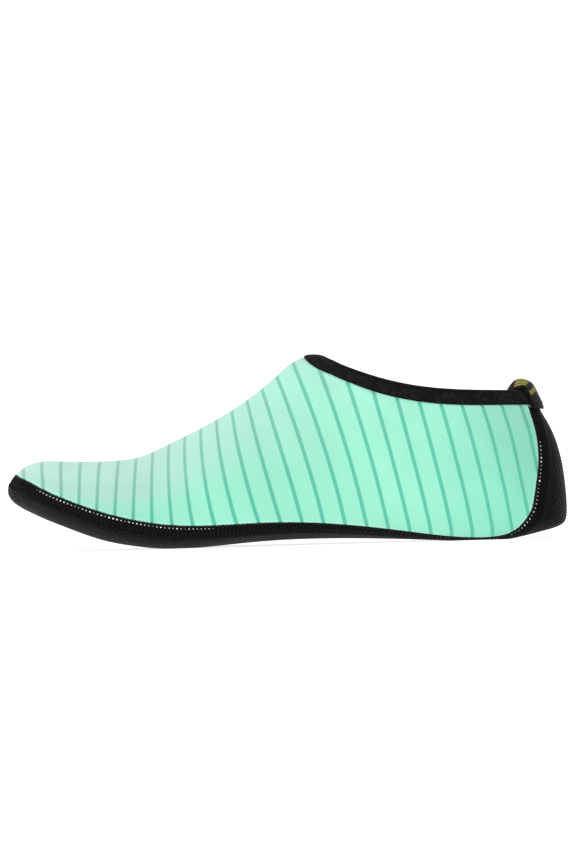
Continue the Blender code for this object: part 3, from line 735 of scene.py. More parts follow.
class Finish:
    """A Principled material with short calls for its nodes."""

    def __init__(self, name, colour, roughness, **values):
        self.material = bpy.data.materials.new(name)
        self.material.use_nodes = True
        self.tree = self.material.node_tree
        self.surface = self.tree.nodes["Principled BSDF"]
        self.set("Base Color", (*colour, 1.0))
        self.set("Roughness", roughness)
        for key, value in values.items():
            self.set(key.replace("_", " ").title().replace("Ior", "IOR"), value)

    def set(self, socket, value):
        self.surface.inputs[socket].default_value = value

    def join(self, source, socket):
        self.tree.links.new(source, self.surface.inputs[socket])

    def node(self, kind, settings=None, **inputs):
        """Add a node with its settings, and link or set its inputs by name or by n0, n1 and so on."""
        node = self.tree.nodes.new(kind)
        for key, value in (settings or {}).items():
            setattr(node, key, value)
        for key, value in inputs.items():
            place = int(key[1:]) if key[0] == "n" and key[1:].isdigit() else key.replace("_", " ")
            socket = node.inputs[place]
            if isinstance(value, bpy.types.NodeSocket):
                self.tree.links.new(value, socket)
            else:
                socket.default_value = value
        return node

    def math(self, operation, first, second=0.0, third=0.0):
        return self.node("ShaderNodeMath", {"operation": operation}, n0=first, n1=second, n2=third).outputs[0]

    def mark(self, name):
        """A number kept on the mesh's points."""
        return self.node("ShaderNodeAttribute", {"attribute_name": name}).outputs["Fac"]

    def place(self, scale=(1.0, 1.0, 1.0), turn=(0.0, 0.0, 0.0)):
        """Object coordinates, scaled and turned."""
        source = self.node("ShaderNodeTexCoord").outputs["Object"]
        return self.node("ShaderNodeMapping", None, Vector=source, Scale=scale, Rotation=turn).outputs[0]

    def pair(self, first, second, third=0.0):
        """Coordinates made of marks on the mesh."""
        return self.node("ShaderNodeCombineXYZ", None, n0=first, n1=second, n2=third).outputs[0]

    def noise(self, where, scale, detail=2.0, roughness=0.5):
        return self.node("ShaderNodeTexNoise", None, Vector=where, Scale=scale, Detail=detail,
                         Roughness=roughness).outputs[0]

    def range(self, value, low, high, out_low=0.0, out_high=1.0):
        """Smooth step of a value between two others."""
        return self.node("ShaderNodeMapRange", {"interpolation_type": "SMOOTHSTEP"}, n0=value, n1=low,
                         n2=high, n3=out_low, n4=out_high).outputs[0]

    def mix(self, part, first, second):
        """Mix of two colours."""
        node = self.tree.nodes.new("ShaderNodeMix")
        node.data_type = "RGBA"
        for place, value in ((0, part), (6, first), (7, second)):
            if isinstance(value, bpy.types.NodeSocket):
                self.tree.links.new(value, node.inputs[place])
            elif place:
                node.inputs[place].default_value = (*value, 1.0)
            else:
                node.inputs[place].default_value = value
        return node.outputs[2]

    def bump(self, height, distance, strength, **below):
        return self.node("ShaderNodeBump", None, Height=height, Distance=distance, Strength=strength,
                         **below).outputs[0]

    def waves(self, where, direction, scale, distortion, **inputs):
        return self.node("ShaderNodeTexWave", {"bands_direction": direction}, Vector=where, Scale=scale,
                         Distortion=distortion, **inputs).outputs["Fac"]

    def done(self, colour, relief):
        """Link the colour, or the mix that is given as its three parts, and the relief."""
        self.join(self.mix(*colour) if isinstance(colour, tuple) else colour, "Base Color")
        self.join(self.bump(*relief) if isinstance(relief, tuple) else relief, "Normal")
        return self.material


MINT_SIDE = (0.262, 0.655, 0.485)
# Painted sheen: paler, greyer mint for up-facing fabric
MINT_PAINTED_SHEEN = (0.375, 0.630, 0.530)
# Painted shade: darker mint toward the heel
MINT_HEEL_SHADE = (0.205, 0.585, 0.425)
# Painted highlight beside the seam and below the binding
MINT_EDGE_HIGHLIGHT = (0.380, 0.800, 0.640)
STRIPE_SIDE = (0.080, 0.420, 0.295)
# Teal of the stripes under the painted sheen
STRIPE_PAINTED_SHEEN = (0.200, 0.440, 0.360)
LINING = (0.420, 0.520, 0.480)


def printed_fabric():
    """Mint stretch fabric with its teal pinstripes and a fine knit, and painted sheen, shade and highlights
    in its colour.
    """
    look = Finish("mint_fabric", MINT_SIDE, 0.78, sheen_weight=0.20, sheen_roughness=0.55,
                  specular_ior_level=0.25)
    stripe = look.mark("stripe")
    away = look.math("PINGPONG", stripe, 0.5)
    line = look.range(away, STRIPE_HALF - STRIPE_SOFT, STRIPE_HALF + STRIPE_SOFT, 1.0, 0.0)
    # Painted sheen: paler, greyer mint and teal where the mark pale is high
    pale = look.mark("pale")
    # Painted shade: darker mint toward the heel
    ground = look.mix(look.mark("painted_heel_shade"), MINT_SIDE, MINT_HEEL_SHADE)
    ground = look.mix(pale, ground, MINT_PAINTED_SHEEN)
    # Painted highlight: brighter mint beside the seam and below the binding
    ground = look.mix(look.mark("edge"), ground, MINT_EDGE_HIGHLIGHT)
    teal = look.mix(pale, STRIPE_SIDE, STRIPE_PAINTED_SHEEN)
    colour = look.mix(look.mark("outside"), LINING, look.mix(line, ground, teal))
    cloudy = look.noise(look.place(), 38.0, 3.0)
    tone = look.range(cloudy, 0.3, 0.7, 0.965, 1.02)
    # Painted shade: the mark shade darkens the lower side of the toe
    tone = look.math("SUBTRACT", tone, look.math("MULTIPLY", look.mark("shade"), SHADE_DEPTH))
    toned = look.node("ShaderNodeVectorMath", {"operation": "SCALE"}, n0=colour, n3=tone).outputs[0]
    cloth = look.pair(look.mark("cloth_u"), look.mark("cloth_v"))
    wales = look.waves(cloth, "X", 320.0, 0.6, Detail=1.0)
    courses = look.waves(cloth, "Y", 450.0, 0.8, Detail=1.0)
    knit = look.math("ADD", wales, look.math("MULTIPLY", courses, 0.6))
    return look.done(toned, (knit, 0.00006, 0.5))


def sole_rubber():
    """Matte black rubber with a faint scaly skin."""
    look = Finish("sole_rubber", (0.0024, 0.0024, 0.0023), 0.62, specular_ior_level=0.06)
    skin = look.node("ShaderNodeTexVoronoi", {"feature": "SMOOTH_F1"}, Vector=look.place((1.0, 1.0, 1.6)),
                     Scale=620.0, Randomness=0.8).outputs["Distance"]
    dust = look.noise(look.place(), 55.0, 4.0, 0.6)
    look.join(look.range(dust, 0.3, 0.7, 0.55, 0.70), "Roughness")
    tones = (look.range(dust, 0.45, 0.75), (0.0016, 0.0016, 0.0015), (0.0044, 0.0044, 0.0041))
    return look.done(tones, (skin, 0.00018, 0.6))


def tread_rubber():
    """The raised tread, a little smoother where it is worn."""
    look = Finish("tread_rubber", (0.0050, 0.0050, 0.0047), 0.50, specular_ior_level=0.14)
    wear = look.noise(look.place(), 90.0, 3.0)
    look.join(look.range(wear, 0.35, 0.65, 0.44, 0.60), "Roughness")
    look.join(look.bump(look.noise(look.place(), 1800.0), 0.00004, 0.5), "Normal")
    return look.material


def band_tape():
    """Black knitted tape under the stitches."""
    look = Finish("band_tape", (0.0026, 0.0026, 0.0024), 0.90, sheen_weight=0.01, specular_ior_level=0.06)
    fuzz = look.noise(look.place(), 1500.0, 2.0)
    return look.done((fuzz, (0.0016, 0.0016, 0.0015), (0.0040, 0.0040, 0.0037)), (fuzz, 0.00008, 0.6))


def black_thread():
    """Textured nylon thread with a soft gloss and its ply as a fine twist."""
    look = Finish("black_thread", (0.0050, 0.0050, 0.0047), 0.55, sheen_weight=0.01, specular_ior_level=0.11)
    ply = look.waves(look.place(), "DIAGONAL", 900.0, 1.5)
    return look.done((ply, (0.0030, 0.0030, 0.0028), (0.0080, 0.0080, 0.0075)), (ply, 0.00004, 0.6))


def pale_thread():
    """The pale loops that show between the black stitches."""
    look = Finish("pale_thread", (0.62, 0.68, 0.62), 0.60, sheen_weight=0.15)
    shade = look.noise(look.place(), 240.0, 1.0)
    tones = (look.range(shade, 0.42, 0.60), (0.30, 0.34, 0.30), (0.85, 0.92, 0.86))
    return look.done(tones, (look.noise(look.place(), 3000.0), 0.00003, 0.5))


def binding_knit():
    """Fleecy black binding with a faint brown and grey fleck."""
    look = Finish("binding_knit", (0.0050, 0.0048, 0.0045), 0.92, sheen_weight=0.02, sheen_roughness=0.6,
                  specular_ior_level=0.06)
    fleck = look.noise(look.place(), 420.0, 4.0, 0.65)
    warm = look.noise(look.place(), 160.0, 2.0)
    grey = look.mix(look.range(fleck, 0.42, 0.72), (0.0036, 0.0036, 0.0034), (0.0125, 0.0122, 0.0114))
    brown = look.mix(look.range(warm, 0.55, 0.75, 0.0, 0.35), grey, (0.0150, 0.0115, 0.0085))
    nap = look.noise(look.place(), 1400.0, 3.0, 0.6)
    fleece = look.bump(nap, 0.00012, 0.6, Normal=look.bump(fleck, 0.00025, 0.5))
    return look.done((look.mark("edge"), brown, (0.0020, 0.0020, 0.0019)), fleece)


def insole_fabric():
    """Dark grey knit over the foam insole."""
    look = Finish("insole_fabric", (0.045, 0.046, 0.047), 0.90, sheen_weight=0.05, specular_ior_level=0.1)
    weave = look.waves(look.place(), "Y", 300.0, 2.0)
    grain = look.noise(look.place(), 900.0, 2.0)
    tones = (grain, (0.030, 0.031, 0.032), (0.065, 0.066, 0.067))
    return look.done(tones, (look.math("ADD", weave, grain), 0.00010, 0.5))


def tab_ribbon():
    """Black ribbon with two rows of plain yellow bars."""
    look = Finish("tab_ribbon", (0.0030, 0.0030, 0.0028), 0.60, sheen_weight=0.01, specular_ior_level=0.08)
    across = look.mark("ribbon_across")
    down = look.mark("ribbon_down")
    bars = look.range(look.math("PINGPONG", look.math("DIVIDE", across, BAR_PITCH), 0.5), 0.16, 0.24)
    inside = look.range(look.math("ABSOLUTE", across), BAR_REACH, BAR_REACH + BAR_SOFT, 1.0, 0.0)
    rows = 0.0
    for start, end in BAR_SPANS:
        after = look.range(down, start, start + BAR_SOFT)
        before = look.range(down, end, end + BAR_SOFT, 1.0, 0.0)
        rows = look.math("ADD", look.math("MULTIPLY", after, before), rows)
    print_mask = look.math("MULTIPLY", look.math("MULTIPLY", bars, inside), rows)
    print_mask = look.math("MULTIPLY", print_mask, look.mark("outside"))
    weft = look.waves(look.pair(across, down), "Y", 420.0, 0.3)
    return look.done((print_mask, (0.0030, 0.0030, 0.0028), (0.300, 0.280, 0.045)), (weft, 0.00010, 0.6))


# Geometry Nodes that repeat threads and raised spots


SHARED_NODES = (
    ("given", "NodeGroupInput", {}),
    ("made", "NodeGroupOutput", {}),
    ("smooth", "GeometryNodeSetShadeSmooth", {}),
    ("real", "GeometryNodeRealizeInstances", {}),
    ("paint", "GeometryNodeSetMaterial", {}),
)


def node_tree(name, inputs, kinds, links, line):
    """Geometry Nodes tree from its inputs, its own nodes, side links, and the line the mesh runs through."""
    tree = bpy.data.node_groups.new(name, "GeometryNodeTree")
    tree.interface.new_socket("Geometry", in_out="INPUT", socket_type="NodeSocketGeometry")
    for key, kind in inputs:
        tree.interface.new_socket(key, in_out="INPUT", socket_type="NodeSocket" + kind)
    tree.interface.new_socket("Geometry", in_out="OUTPUT", socket_type="NodeSocketGeometry")
    nodes = {}
    for key, kind, settings in SHARED_NODES + kinds:
        nodes[key] = tree.nodes.new(kind)
        for setting, value in settings.items():
            setattr(nodes[key], setting, value)
    for source, out, target, into in (("given", "Material", "paint", "Material"),) + links:
        tree.links.new(nodes[source].outputs[out], nodes[target].inputs[into])
    for source, target in zip(line, line[1:]):
        tree.links.new(nodes[source].outputs[0], nodes[target].inputs[0])
    return tree, nodes


def thread_tree():
    """Round threads along every open line of the mesh."""
    tree, nodes = node_tree(
        "threads",
        (("Radius", "Float"), ("Sides", "Int"), ("Material", "Material")),
        (("curve", "GeometryNodeMeshToCurve", {}),
         ("ring", "GeometryNodeCurvePrimitiveCircle", {}),
         ("sweep", "GeometryNodeCurveToMesh", {})),
        (("given", "Sides", "ring", "Resolution"),
         ("given", "Radius", "ring", "Radius"),
         ("ring", "Curve", "sweep", "Profile Curve")),
        ("given", "curve", "sweep", "smooth", "real", "paint", "made"))
    nodes["sweep"].inputs["Fill Caps"].default_value = True
    return tree


def spot_tree():
    """A flattened ball on every point, its flat side to the surface."""
    read = "GeometryNodeInputNamedAttribute"
    turn = "FunctionNodeAlignRotationToVector"
    tree, nodes = node_tree(
        "spots",
        (("Size", "Vector"), ("Roundness", "Int"), ("Material", "Material")),
        (("ball", "GeometryNodeMeshIcoSphere", {}),
         ("lift", read, {"data_type": "FLOAT_VECTOR"}),
         ("run", read, {"data_type": "FLOAT_VECTOR"}),
         ("grow", read, {}),
         ("upright", turn, {"axis": "Z"}),
         ("ahead", turn, {"axis": "X", "pivot_axis": "Z"}),
         ("scale", "ShaderNodeVectorMath", {"operation": "SCALE"}),
         ("repeat", "GeometryNodeInstanceOnPoints", {})),
        (("given", "Roundness", "ball", "Subdivisions"),
         ("lift", "Attribute", "upright", "Vector"),
         ("run", "Attribute", "ahead", "Vector"),
         ("upright", 0, "ahead", "Rotation"),
         ("given", "Size", "scale", 0),
         ("grow", "Attribute", "scale", "Scale"),
         ("ball", "Mesh", "repeat", "Instance"),
         ("ahead", 0, "repeat", "Rotation"),
         ("scale", 0, "repeat", "Scale")),
        ("given", "repeat", "real", "smooth", "paint", "made"))
    nodes["ball"].inputs["Radius"].default_value = 0.5
    for key in ("lift", "run", "grow"):
        nodes[key].inputs["Name"].default_value = key
    return tree


def grown(name, data, tree, values):
    """Run a tree on a mesh and keep the plain mesh it makes."""
    seed = bpy.data.objects.new(name + "_seed", data)
    bpy.context.scene.collection.objects.link(seed)
    modifier = seed.modifiers.new(name, "NODES")
    modifier.node_group = tree
    for item in tree.interface.items_tree:
        if item.item_type == "SOCKET" and item.in_out == "INPUT" and item.name in values:
            modifier[item.identifier] = values[item.name]
    bpy.context.view_layer.update()
    ready = seed.evaluated_get(bpy.context.evaluated_depsgraph_get())
    mesh = bpy.data.meshes.new_from_object(ready)
    bpy.data.objects.remove(seed)
    mesh.name = name
    piece = bpy.data.objects.new(name, mesh)
    bpy.context.scene.collection.objects.link(piece)
    return piece


THREADS = thread_tree()
SPOTS = spot_tree()


def threads(name, paths, radius, sides, material):
    """Piece made of round threads, one along each row of points."""
    count, steps = paths.shape[:2]
    data = bpy.data.meshes.new(name + "_lines")
    index = np.arange(count * steps).reshape(count, steps)
    edges = np.stack([index[:, :-1], index[:, 1:]], axis=-1).reshape(-1, 2)
    data.from_pydata(paths.reshape(-1, 3).tolist(), edges.tolist(), [])
    return grown(name, data, THREADS, {"Radius": radius, "Sides": sides, "Material": material})


def spots(name, points, lift, run, grow, size, roundness, material):
    """Piece made of flattened balls, one on each point, along the given directions."""
    data = bpy.data.meshes.new(name + "_points")
    data.from_pydata(points.tolist(), [], [])
    for key, values in (("lift", lift), ("run", run)):
        held = data.attributes.new(key, "FLOAT_VECTOR", "POINT").data
        held.foreach_set("vector", values.astype(np.float32).ravel())
    data.attributes.new("grow", "FLOAT", "POINT").data.foreach_set("value", grow.astype(np.float32))
    return grown(name, data, SPOTS, {"Size": size, "Roundness": roundness, "Material": material})


def hand_over(piece, node=None):
    """Ride a finished piece on the shoe, and hide the imported part it stands for, if one is given."""
    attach(piece, "root")
    if node:
        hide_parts(node)
    return piece


# Pieces


def stripe_number(points):
    """Number of the stripe at points of the fabric, with fractions between stripes."""
    numbers = np.array([row[0] for row in STRIPE_CHART], dtype=float)
    every = np.arange(numbers[0], numbers[-1] + 1.0)
    heights = np.linspace(0.0, CHART_TOP, CHART_LEVELS)
    columns = [natural_spline(np.array(STRIPE_HEIGHTS), np.array(row[1:]))(heights) for row in STRIPE_CHART]
    chart = np.array([natural_spline(numbers, level)(every) for level in np.array(columns).T])
    share = points[:, 0] / LENGTH + HEEL_REST_SHARE
    level = np.clip(points[:, 2] / heights[1], 0.0, len(heights) - 1.001)
    low = level.astype(int)
    part = (level - low)[:, None]
    lines = chart[low] * (1.0 - part) + chart[low + 1] * part
    after = np.clip(np.sum(lines < share[:, None], axis=1), 1, len(every) - 1)
    index = np.arange(len(share))
    before = lines[index, after - 1]
    return every[after - 1] + (share - before) / (lines[index, after] - before)


def crease_relief(points):
    """Height of the soft troughs and ridges at points of the fabric."""
    at = np.stack([points[..., 0] / LENGTH + HEEL_REST_SHARE, points[..., 2] / HEEL_HEIGHT], axis=-1)
    size = np.array((LENGTH, HEEL_HEIGHT))
    relief = np.zeros(points.shape[:-1])
    for start_x, start_z, end_x, end_z, width, height in CREASES:
        start = np.array((start_x, start_z)) * size
        run = np.array((end_x, end_z)) * size - start
        here = at * size - start
        part = np.clip(here @ run / (run @ run), 0.0, 1.0)
        away = np.linalg.norm(here - part[..., None] * run, axis=-1)
        relief += height * np.exp(-(away / width) ** 2) * np.sin(math.pi * np.clip(part, 0.02, 0.98))
    return relief


def add_upper():
    """Stretch fabric upper with its printed stripes, rolled edges and soft creases."""
    places = ribs([-distance for distance, _ in FABRIC_EDGE], UPPER_SPANS, over_ridge)
    base, normal = surface(places)
    lines, columns = base.shape[:2]
    distance = np.full((lines, columns), 1.0)
    height = np.zeros((lines, columns))
    for k, (away, lift) in enumerate(FABRIC_EDGE):
        for column in (k, columns - 1 - k):
            distance[:, column] = away
            height[:, column] = lift
    leg = lines - len(TOP_ROWS) + TOP_ROWS.index(0.0)
    run = along(base.transpose(1, 0, 2)).T
    below = run[leg][None, :] - run
    swell = SWELL_HEIGHT * hump(below, *SWELL_START) * (1.0 - hump(below, *SWELL_END))
    creases = crease_relief(base) * hump(below, 0.0, CREASE_START)
    height += np.where(distance > SEAM_LINE[0], swell + creases, 0.0)
    height[leg:] = np.minimum(height[leg:], 0.0)
    height[-len(TOP_ROWS) - 1:, :2] = 0.0
    height[-len(TOP_ROWS) - 1:, -2:] = 0.0
    outer = on_floor(base + normal * height[..., None])
    inner = base - normal * UPPER_WALL
    # The mark edge puts a painted highlight on the fabric beside the seam and below the binding
    near_seam, near_leg = [np.clip(1.0 - np.abs(away - middle) / half, 0.0, 1.0)
                           for away, (middle, half) in ((distance, SEAM_LINE), (below, LEG_LINE))]
    # Painted sheen: the mark pale pales up-facing fabric, fully toward the toe and in part further back
    at_toe = 1.0 - hump(base[..., 0], *PAINTED_SHEEN_ENDS)
    level = hump(normal[..., 2] + PAINTED_SHEEN_LEAN * at_toe, *PAINTED_SHEEN_SLOPE)
    pale = level * (PAINTED_SHEEN_INSTEP + (1.0 - PAINTED_SHEEN_INSTEP) * at_toe)
    # Painted shade: the fabric darkens toward the heel
    painted_heel_shade = hump(base[..., 0], *HEEL_SHADE_ENDS)
    # Painted shade on the lower side of the toe
    shade = (1.0 - hump(base[..., 0], *SHADE_ENDS)) * (1.0 - hump(normal[..., 2], *SHADE_SLOPE))
    stripe = stripe_number(base.reshape(-1, 3)).reshape(lines, columns)
    marks = {"stripe": stripe, "pale": pale, "painted_heel_shade": painted_heel_shade, "shade": shade,
             "edge": np.maximum(near_seam, near_leg),
             "cloth_u": stripe * STRIPE_PITCH, "cloth_v": along(base)}
    piece = shell("upper_fabric", outer, inner, folded=True, marks=marks)
    piece.data.materials.append(printed_fabric())
    return hand_over(piece, "upper")


def sole_places():
    """Grid of places of the outsole."""
    return ribs([distance for distance, _ in SOLE_EDGE], SOLE_SPANS, under_foot)


def add_outsole():
    """Rubber sole with a rounded lip beside the band."""
    places = sole_places()
    base, normal = surface(places)
    lines, columns = base.shape[:2]
    height = np.full((lines, columns), -TREAD_DEPTH)
    for k, (_, lift) in enumerate(SOLE_EDGE):
        height[:, k] = lift
        height[:, columns - 1 - k] = lift
    height[-len(TOP_ROWS) - 1:] = np.maximum(height[-len(TOP_ROWS) - 1:], -TREAD_DEPTH)
    row = np.hypot(*places)
    thin = np.clip((row - THIN_START_ROW) / (THIN_END_ROW - THIN_START_ROW), 0.0, 1.0)
    outer = on_floor(base + normal * height[..., None], TREAD_DEPTH)
    inner = base + normal * (-SOLE_WALL + (SOLE_WALL - UPPER_WALL) * thin)[..., None]
    piece = shell("outsole_rubber", outer, inner, folded=True)
    piece.data.materials.append(sole_rubber())
    return hand_over(piece, "outsole")


def strip_lines():
    """Lines of places beside the seam, every half millimetre across the band."""
    count = int(round((BAND_WIDTH + 0.002) / STRIP_STEP))
    lines = [walk(*SEAM, -STRIP_STEP), SEAM]
    for _ in range(count):
        lines.append(walk(*lines[-1], STRIP_STEP, steps=STRIP_STEPS))
    return STRIP_STEP * np.arange(-1, count + 1), np.array(lines)


ACROSS, STRIP = strip_lines()
SEAM_RUN = along(last_point(*under_collar(*SEAM))[None])[0]
SEAM_ENDS = [np.interp(BAND_END_ROW, np.hypot(*half), np.arange(PATH_POINTS)) for half in halves(*SEAM)]
SEAM_START, SEAM_END = np.interp((PATH_POINTS - 1 - SEAM_ENDS[0], PATH_POINTS - 1 + SEAM_ENDS[1]),
                                 np.arange(2 * PATH_POINTS - 1), SEAM_RUN)


def strip_places(run, across):
    """Places at distances along the seam and across the band."""
    index = np.interp(run, SEAM_RUN, np.arange(len(SEAM_RUN)))
    line = np.interp(across, ACROSS, np.arange(len(ACROSS)))
    i = np.clip(index.astype(int), 0, len(SEAM_RUN) - 2)
    j = np.clip(line.astype(int), 0, len(ACROSS) - 2)
    u = index - i
    v = line - j
    spot = [(STRIP[j, k, i] * (1 - u) + STRIP[j, k, i + 1] * u) * (1 - v)
            + (STRIP[j + 1, k, i] * (1 - u) + STRIP[j + 1, k, i + 1] * u) * v for k in (0, 1)]
    return under_collar(*spot)


def strip_points(run, across, lift):
    """Points beside the seam at heights off the last, with normals and the seam's direction."""
    run, across, lift = np.broadcast_arrays(run, across, lift)
    a, b = strip_places(run.ravel(), across.ravel())
    normal = outward(a, b)
    point = last_point(a, b) + normal * lift.ravel()[:, None]
    ahead_a, ahead_b = strip_places(run.ravel() + 0.0003, across.ravel())
    direction = unit(last_point(ahead_a, ahead_b) - last_point(a, b))
    shape = run.shape + (3,)
    return point.reshape(shape), normal.reshape(shape), direction.reshape(shape)


def add_seam_band():
    """Knitted tape over the joint, with a lip, hooked stitches, a scalloped edge and pale loops."""
    stations = np.linspace(SEAM_START, SEAM_END, TAPE_STATIONS)[:, None]
    across, lift = np.array(TAPE_PROFILE).T[:, None, :]
    outer, normal, _ = strip_points(stations, across, lift)
    inner = outer - normal * (lift + BAND_THICKNESS - BAND_PROUD)[..., None]
    tape = shell("seam_band_tape", on_floor(outer, GAP), inner)
    tape.data.materials.append(band_tape())
    hand_over(tape, "seam_band")

    count = int((SEAM_END - SEAM_START) / STITCH_PITCH)
    starts = SEAM_START + STITCH_PITCH * np.arange(count)
    before_heel = strip_points(starts, 0.5 * BAND_WIDTH, 0.0)[0][:, 0] < HOOKS_END
    thread = black_thread()
    rng = np.random.default_rng(SEED)
    for name, hook in (("upper", UPPER_HOOK), ("lower", LOWER_HOOK)):
        knots = np.linspace(0.0, 1.0, len(hook))
        way = np.linspace(0.0, 1.0, THREAD_POINTS)
        shift, depth = [natural_spline(knots, column)(way) for column in np.array(hook).T]
        wobble = HOOK_WOBBLE * rng.standard_normal((count, 1))
        run = np.clip(starts[:, None] + STITCH_PITCH * (shift[None, :] + wobble), SEAM_START, SEAM_END)
        height = HOOK_HEIGHTS[0] + HOOK_HEIGHTS[1] * np.sin(math.pi * way)[None, :]
        paths, _, _ = strip_points(run[before_heel], depth[None, :], height)
        paths = on_floor(paths, THREAD_RADIUS + GAP)
        piece = threads("seam_stitches_" + name, paths, THREAD_RADIUS, 6, thread)
        hand_over(piece)

    point, normal, direction = strip_points(starts, SCALLOP_ACROSS, SCALLOP_LIFT)
    grow = 1.0 + SCALLOP_VARIES * rng.standard_normal(count)
    edge = spots("seam_scallops", point, normal, direction, grow, SCALLOP_SIZE, 2, thread)
    hand_over(edge)

    point, normal, direction = strip_points(starts + 0.5 * STITCH_PITCH, DOT_ACROSS, DOT_LIFT)
    grow = np.clip(0.95 + DOT_VARIES * rng.standard_normal(count), 0.55, 1.25)
    fore = hump(point[:, 0], *DOTS_TOE) * (1.0 - hump(point[:, 0], *DOTS_WAIST))
    heel = hump(point[:, 0], *DOTS_HEEL) * (1.0 - hump(point[:, 2], *DOTS_TOP))
    grow = grow * (fore + heel)
    seen = grow > DOT_LEAST
    loops = spots("seam_pale_loops", point[seen], normal[seen], direction[seen], grow[seen], DOT_SIZE, 2,
                  pale_thread())
    hand_over(loops)

    path, _, _ = strip_points(np.linspace(SEAM_START, SEAM_END, LIP_STATIONS), LIP_ACROSS, LIP_LIFT)
    lip = threads("seam_lip", on_floor(path, LIP_RADIUS)[None], LIP_RADIUS, 8, thread)
    hand_over(lip)


def add_tread():
    """Short raised bars in staggered rows over the sole, the toe wrap and the heel wrap."""
    row = np.linspace(0.0, RIM_ROW, TREAD_STATIONS)
    middle = last_point(row, np.zeros_like(row))
    run = along(middle[None])[0]
    end = np.interp(BAND_END_ROW - 1.2, row, run)
    count = int(end / TREAD_PITCH)
    stations = np.interp(TREAD_PITCH * (0.6 + np.arange(count)), run, row)
    margin = TREAD_MARGIN + (HEEL_MARGIN - TREAD_MARGIN) * hump(np.hypot(*SEAM), *HEEL_ROWS)
    edges = []
    for a, b in halves(*walk(*SEAM, BAND_WIDTH + margin)):
        far = np.hypot(a, b)
        edges.append(np.interp(stations, far, np.abs(np.arctan2(b, -a)) / math.pi, left=0.0))
    points, _ = sections(stations, np.ones_like(stations))
    length = along(points)[:, -1]
    spots_a, spots_b = [], []
    for i, station in enumerate(stations):
        for side, edge in zip((-1.0, 1.0), edges):
            reach = (1.0 - edge[i]) * length[i]
            first = 0.5 * TREAD_STEP if i % 2 else (0.0 if side > 0 else TREAD_STEP)
            offsets = np.arange(first, reach, TREAD_STEP)
            turn = 1.0 - offsets / length[i]
            spots_a.append(-station * np.cos(math.pi * turn))
            spots_b.append(side * station * np.sin(math.pi * turn))
    a, b = under_collar(np.concatenate(spots_a), np.concatenate(spots_b))
    normal = outward(a, b)
    point = last_point(a, b)
    by_a, by_b = slopes(a, b)
    turn = np.arctan2(b, -a)[:, None]
    around = unit(by_b * np.cos(turn) + by_a * np.sin(turn))
    lean = unit(around + TREAD_LEAN * unit(np.cross(normal, around)))
    point = point - normal * 0.5 * TREAD_SIZE[2]
    point[:, 2] = np.maximum(point[:, 2], 0.5 * TREAD_SIZE[2])
    bars = spots("tread_bars", point, normal, lean, np.ones(len(a)), TREAD_SIZE, 1, tread_rubber())
    hand_over(bars)


def add_collar_binding():
    """Fleecy folded binding round the collar."""
    turn = np.linspace(-1.0, 1.0, BINDING_RIBS, endpoint=False)[:, None]
    up = np.linspace(0.0, 1.0, BINDING_LINES) ** 1.3
    row = LEG_ROW + (RIM_ROW - LEG_ROW) * up[None, :]
    places = under_collar(-row * np.cos(math.pi * turn), row * np.sin(math.pi * turn))
    base, normal = surface(places)
    edge = base[:, -1]
    edge_normal = normal[:, -1]
    rise = edge - base[:, -2]
    rise = unit(rise - edge_normal * np.sum(rise * edge_normal, axis=1, keepdims=True))
    heart = edge - edge_normal * 0.5 * UPPER_WALL
    around = along(base[:, 0][None])[0][:, None]
    ripple = np.sin(2.0 * math.pi * around / PUCKER_PITCH)
    pucker = PUCKER_HEIGHT * ripple * np.exp(-up[None, :] / PUCKER_REACH)
    crown = CROWN_HEIGHT * np.sin(math.pi * up[None, :]) ** 0.8
    fall = -FOOT_FALL * (1.0 - hump(up, 0.0, FOOT_REACH))[None, :]
    faces = []
    for reach, shaped in ((GAP + BINDING_THICKNESS, 1.0), (GAP, 0.0)):
        radius = 0.5 * UPPER_WALL + reach
        lift = reach + shaped * (crown + fall + pucker)
        outer_leg = base + normal * lift[..., None]
        inner_leg = (base - normal * (UPPER_WALL + lift)[..., None])[:, ::-1]
        turns = [math.pi * k / ARC_SPANS for k in range(1, ARC_SPANS)]
        arc = [heart + radius * (edge_normal * math.cos(bend) + rise * math.sin(bend)) for bend in turns]
        faces.append(np.concatenate([outer_leg, np.stack(arc, axis=1), inner_leg], axis=1))
    count = faces[0].shape[1]
    way = np.linspace(0.0, 1.0, count)[None, :] * np.ones((BINDING_RIBS, 1))
    rim = np.exp(-((way - 0.40) / 0.030) ** 2)
    foot = np.exp(-(way / 0.035) ** 2)
    marks = {"edge": np.clip(0.8 * rim + foot, 0.0, 1.0)}
    piece = shell("collar_binding_knit", faces[0], faces[1], ring=True, marks=marks)
    piece.data.materials.append(binding_knit())
    return hand_over(piece, "collar_binding")


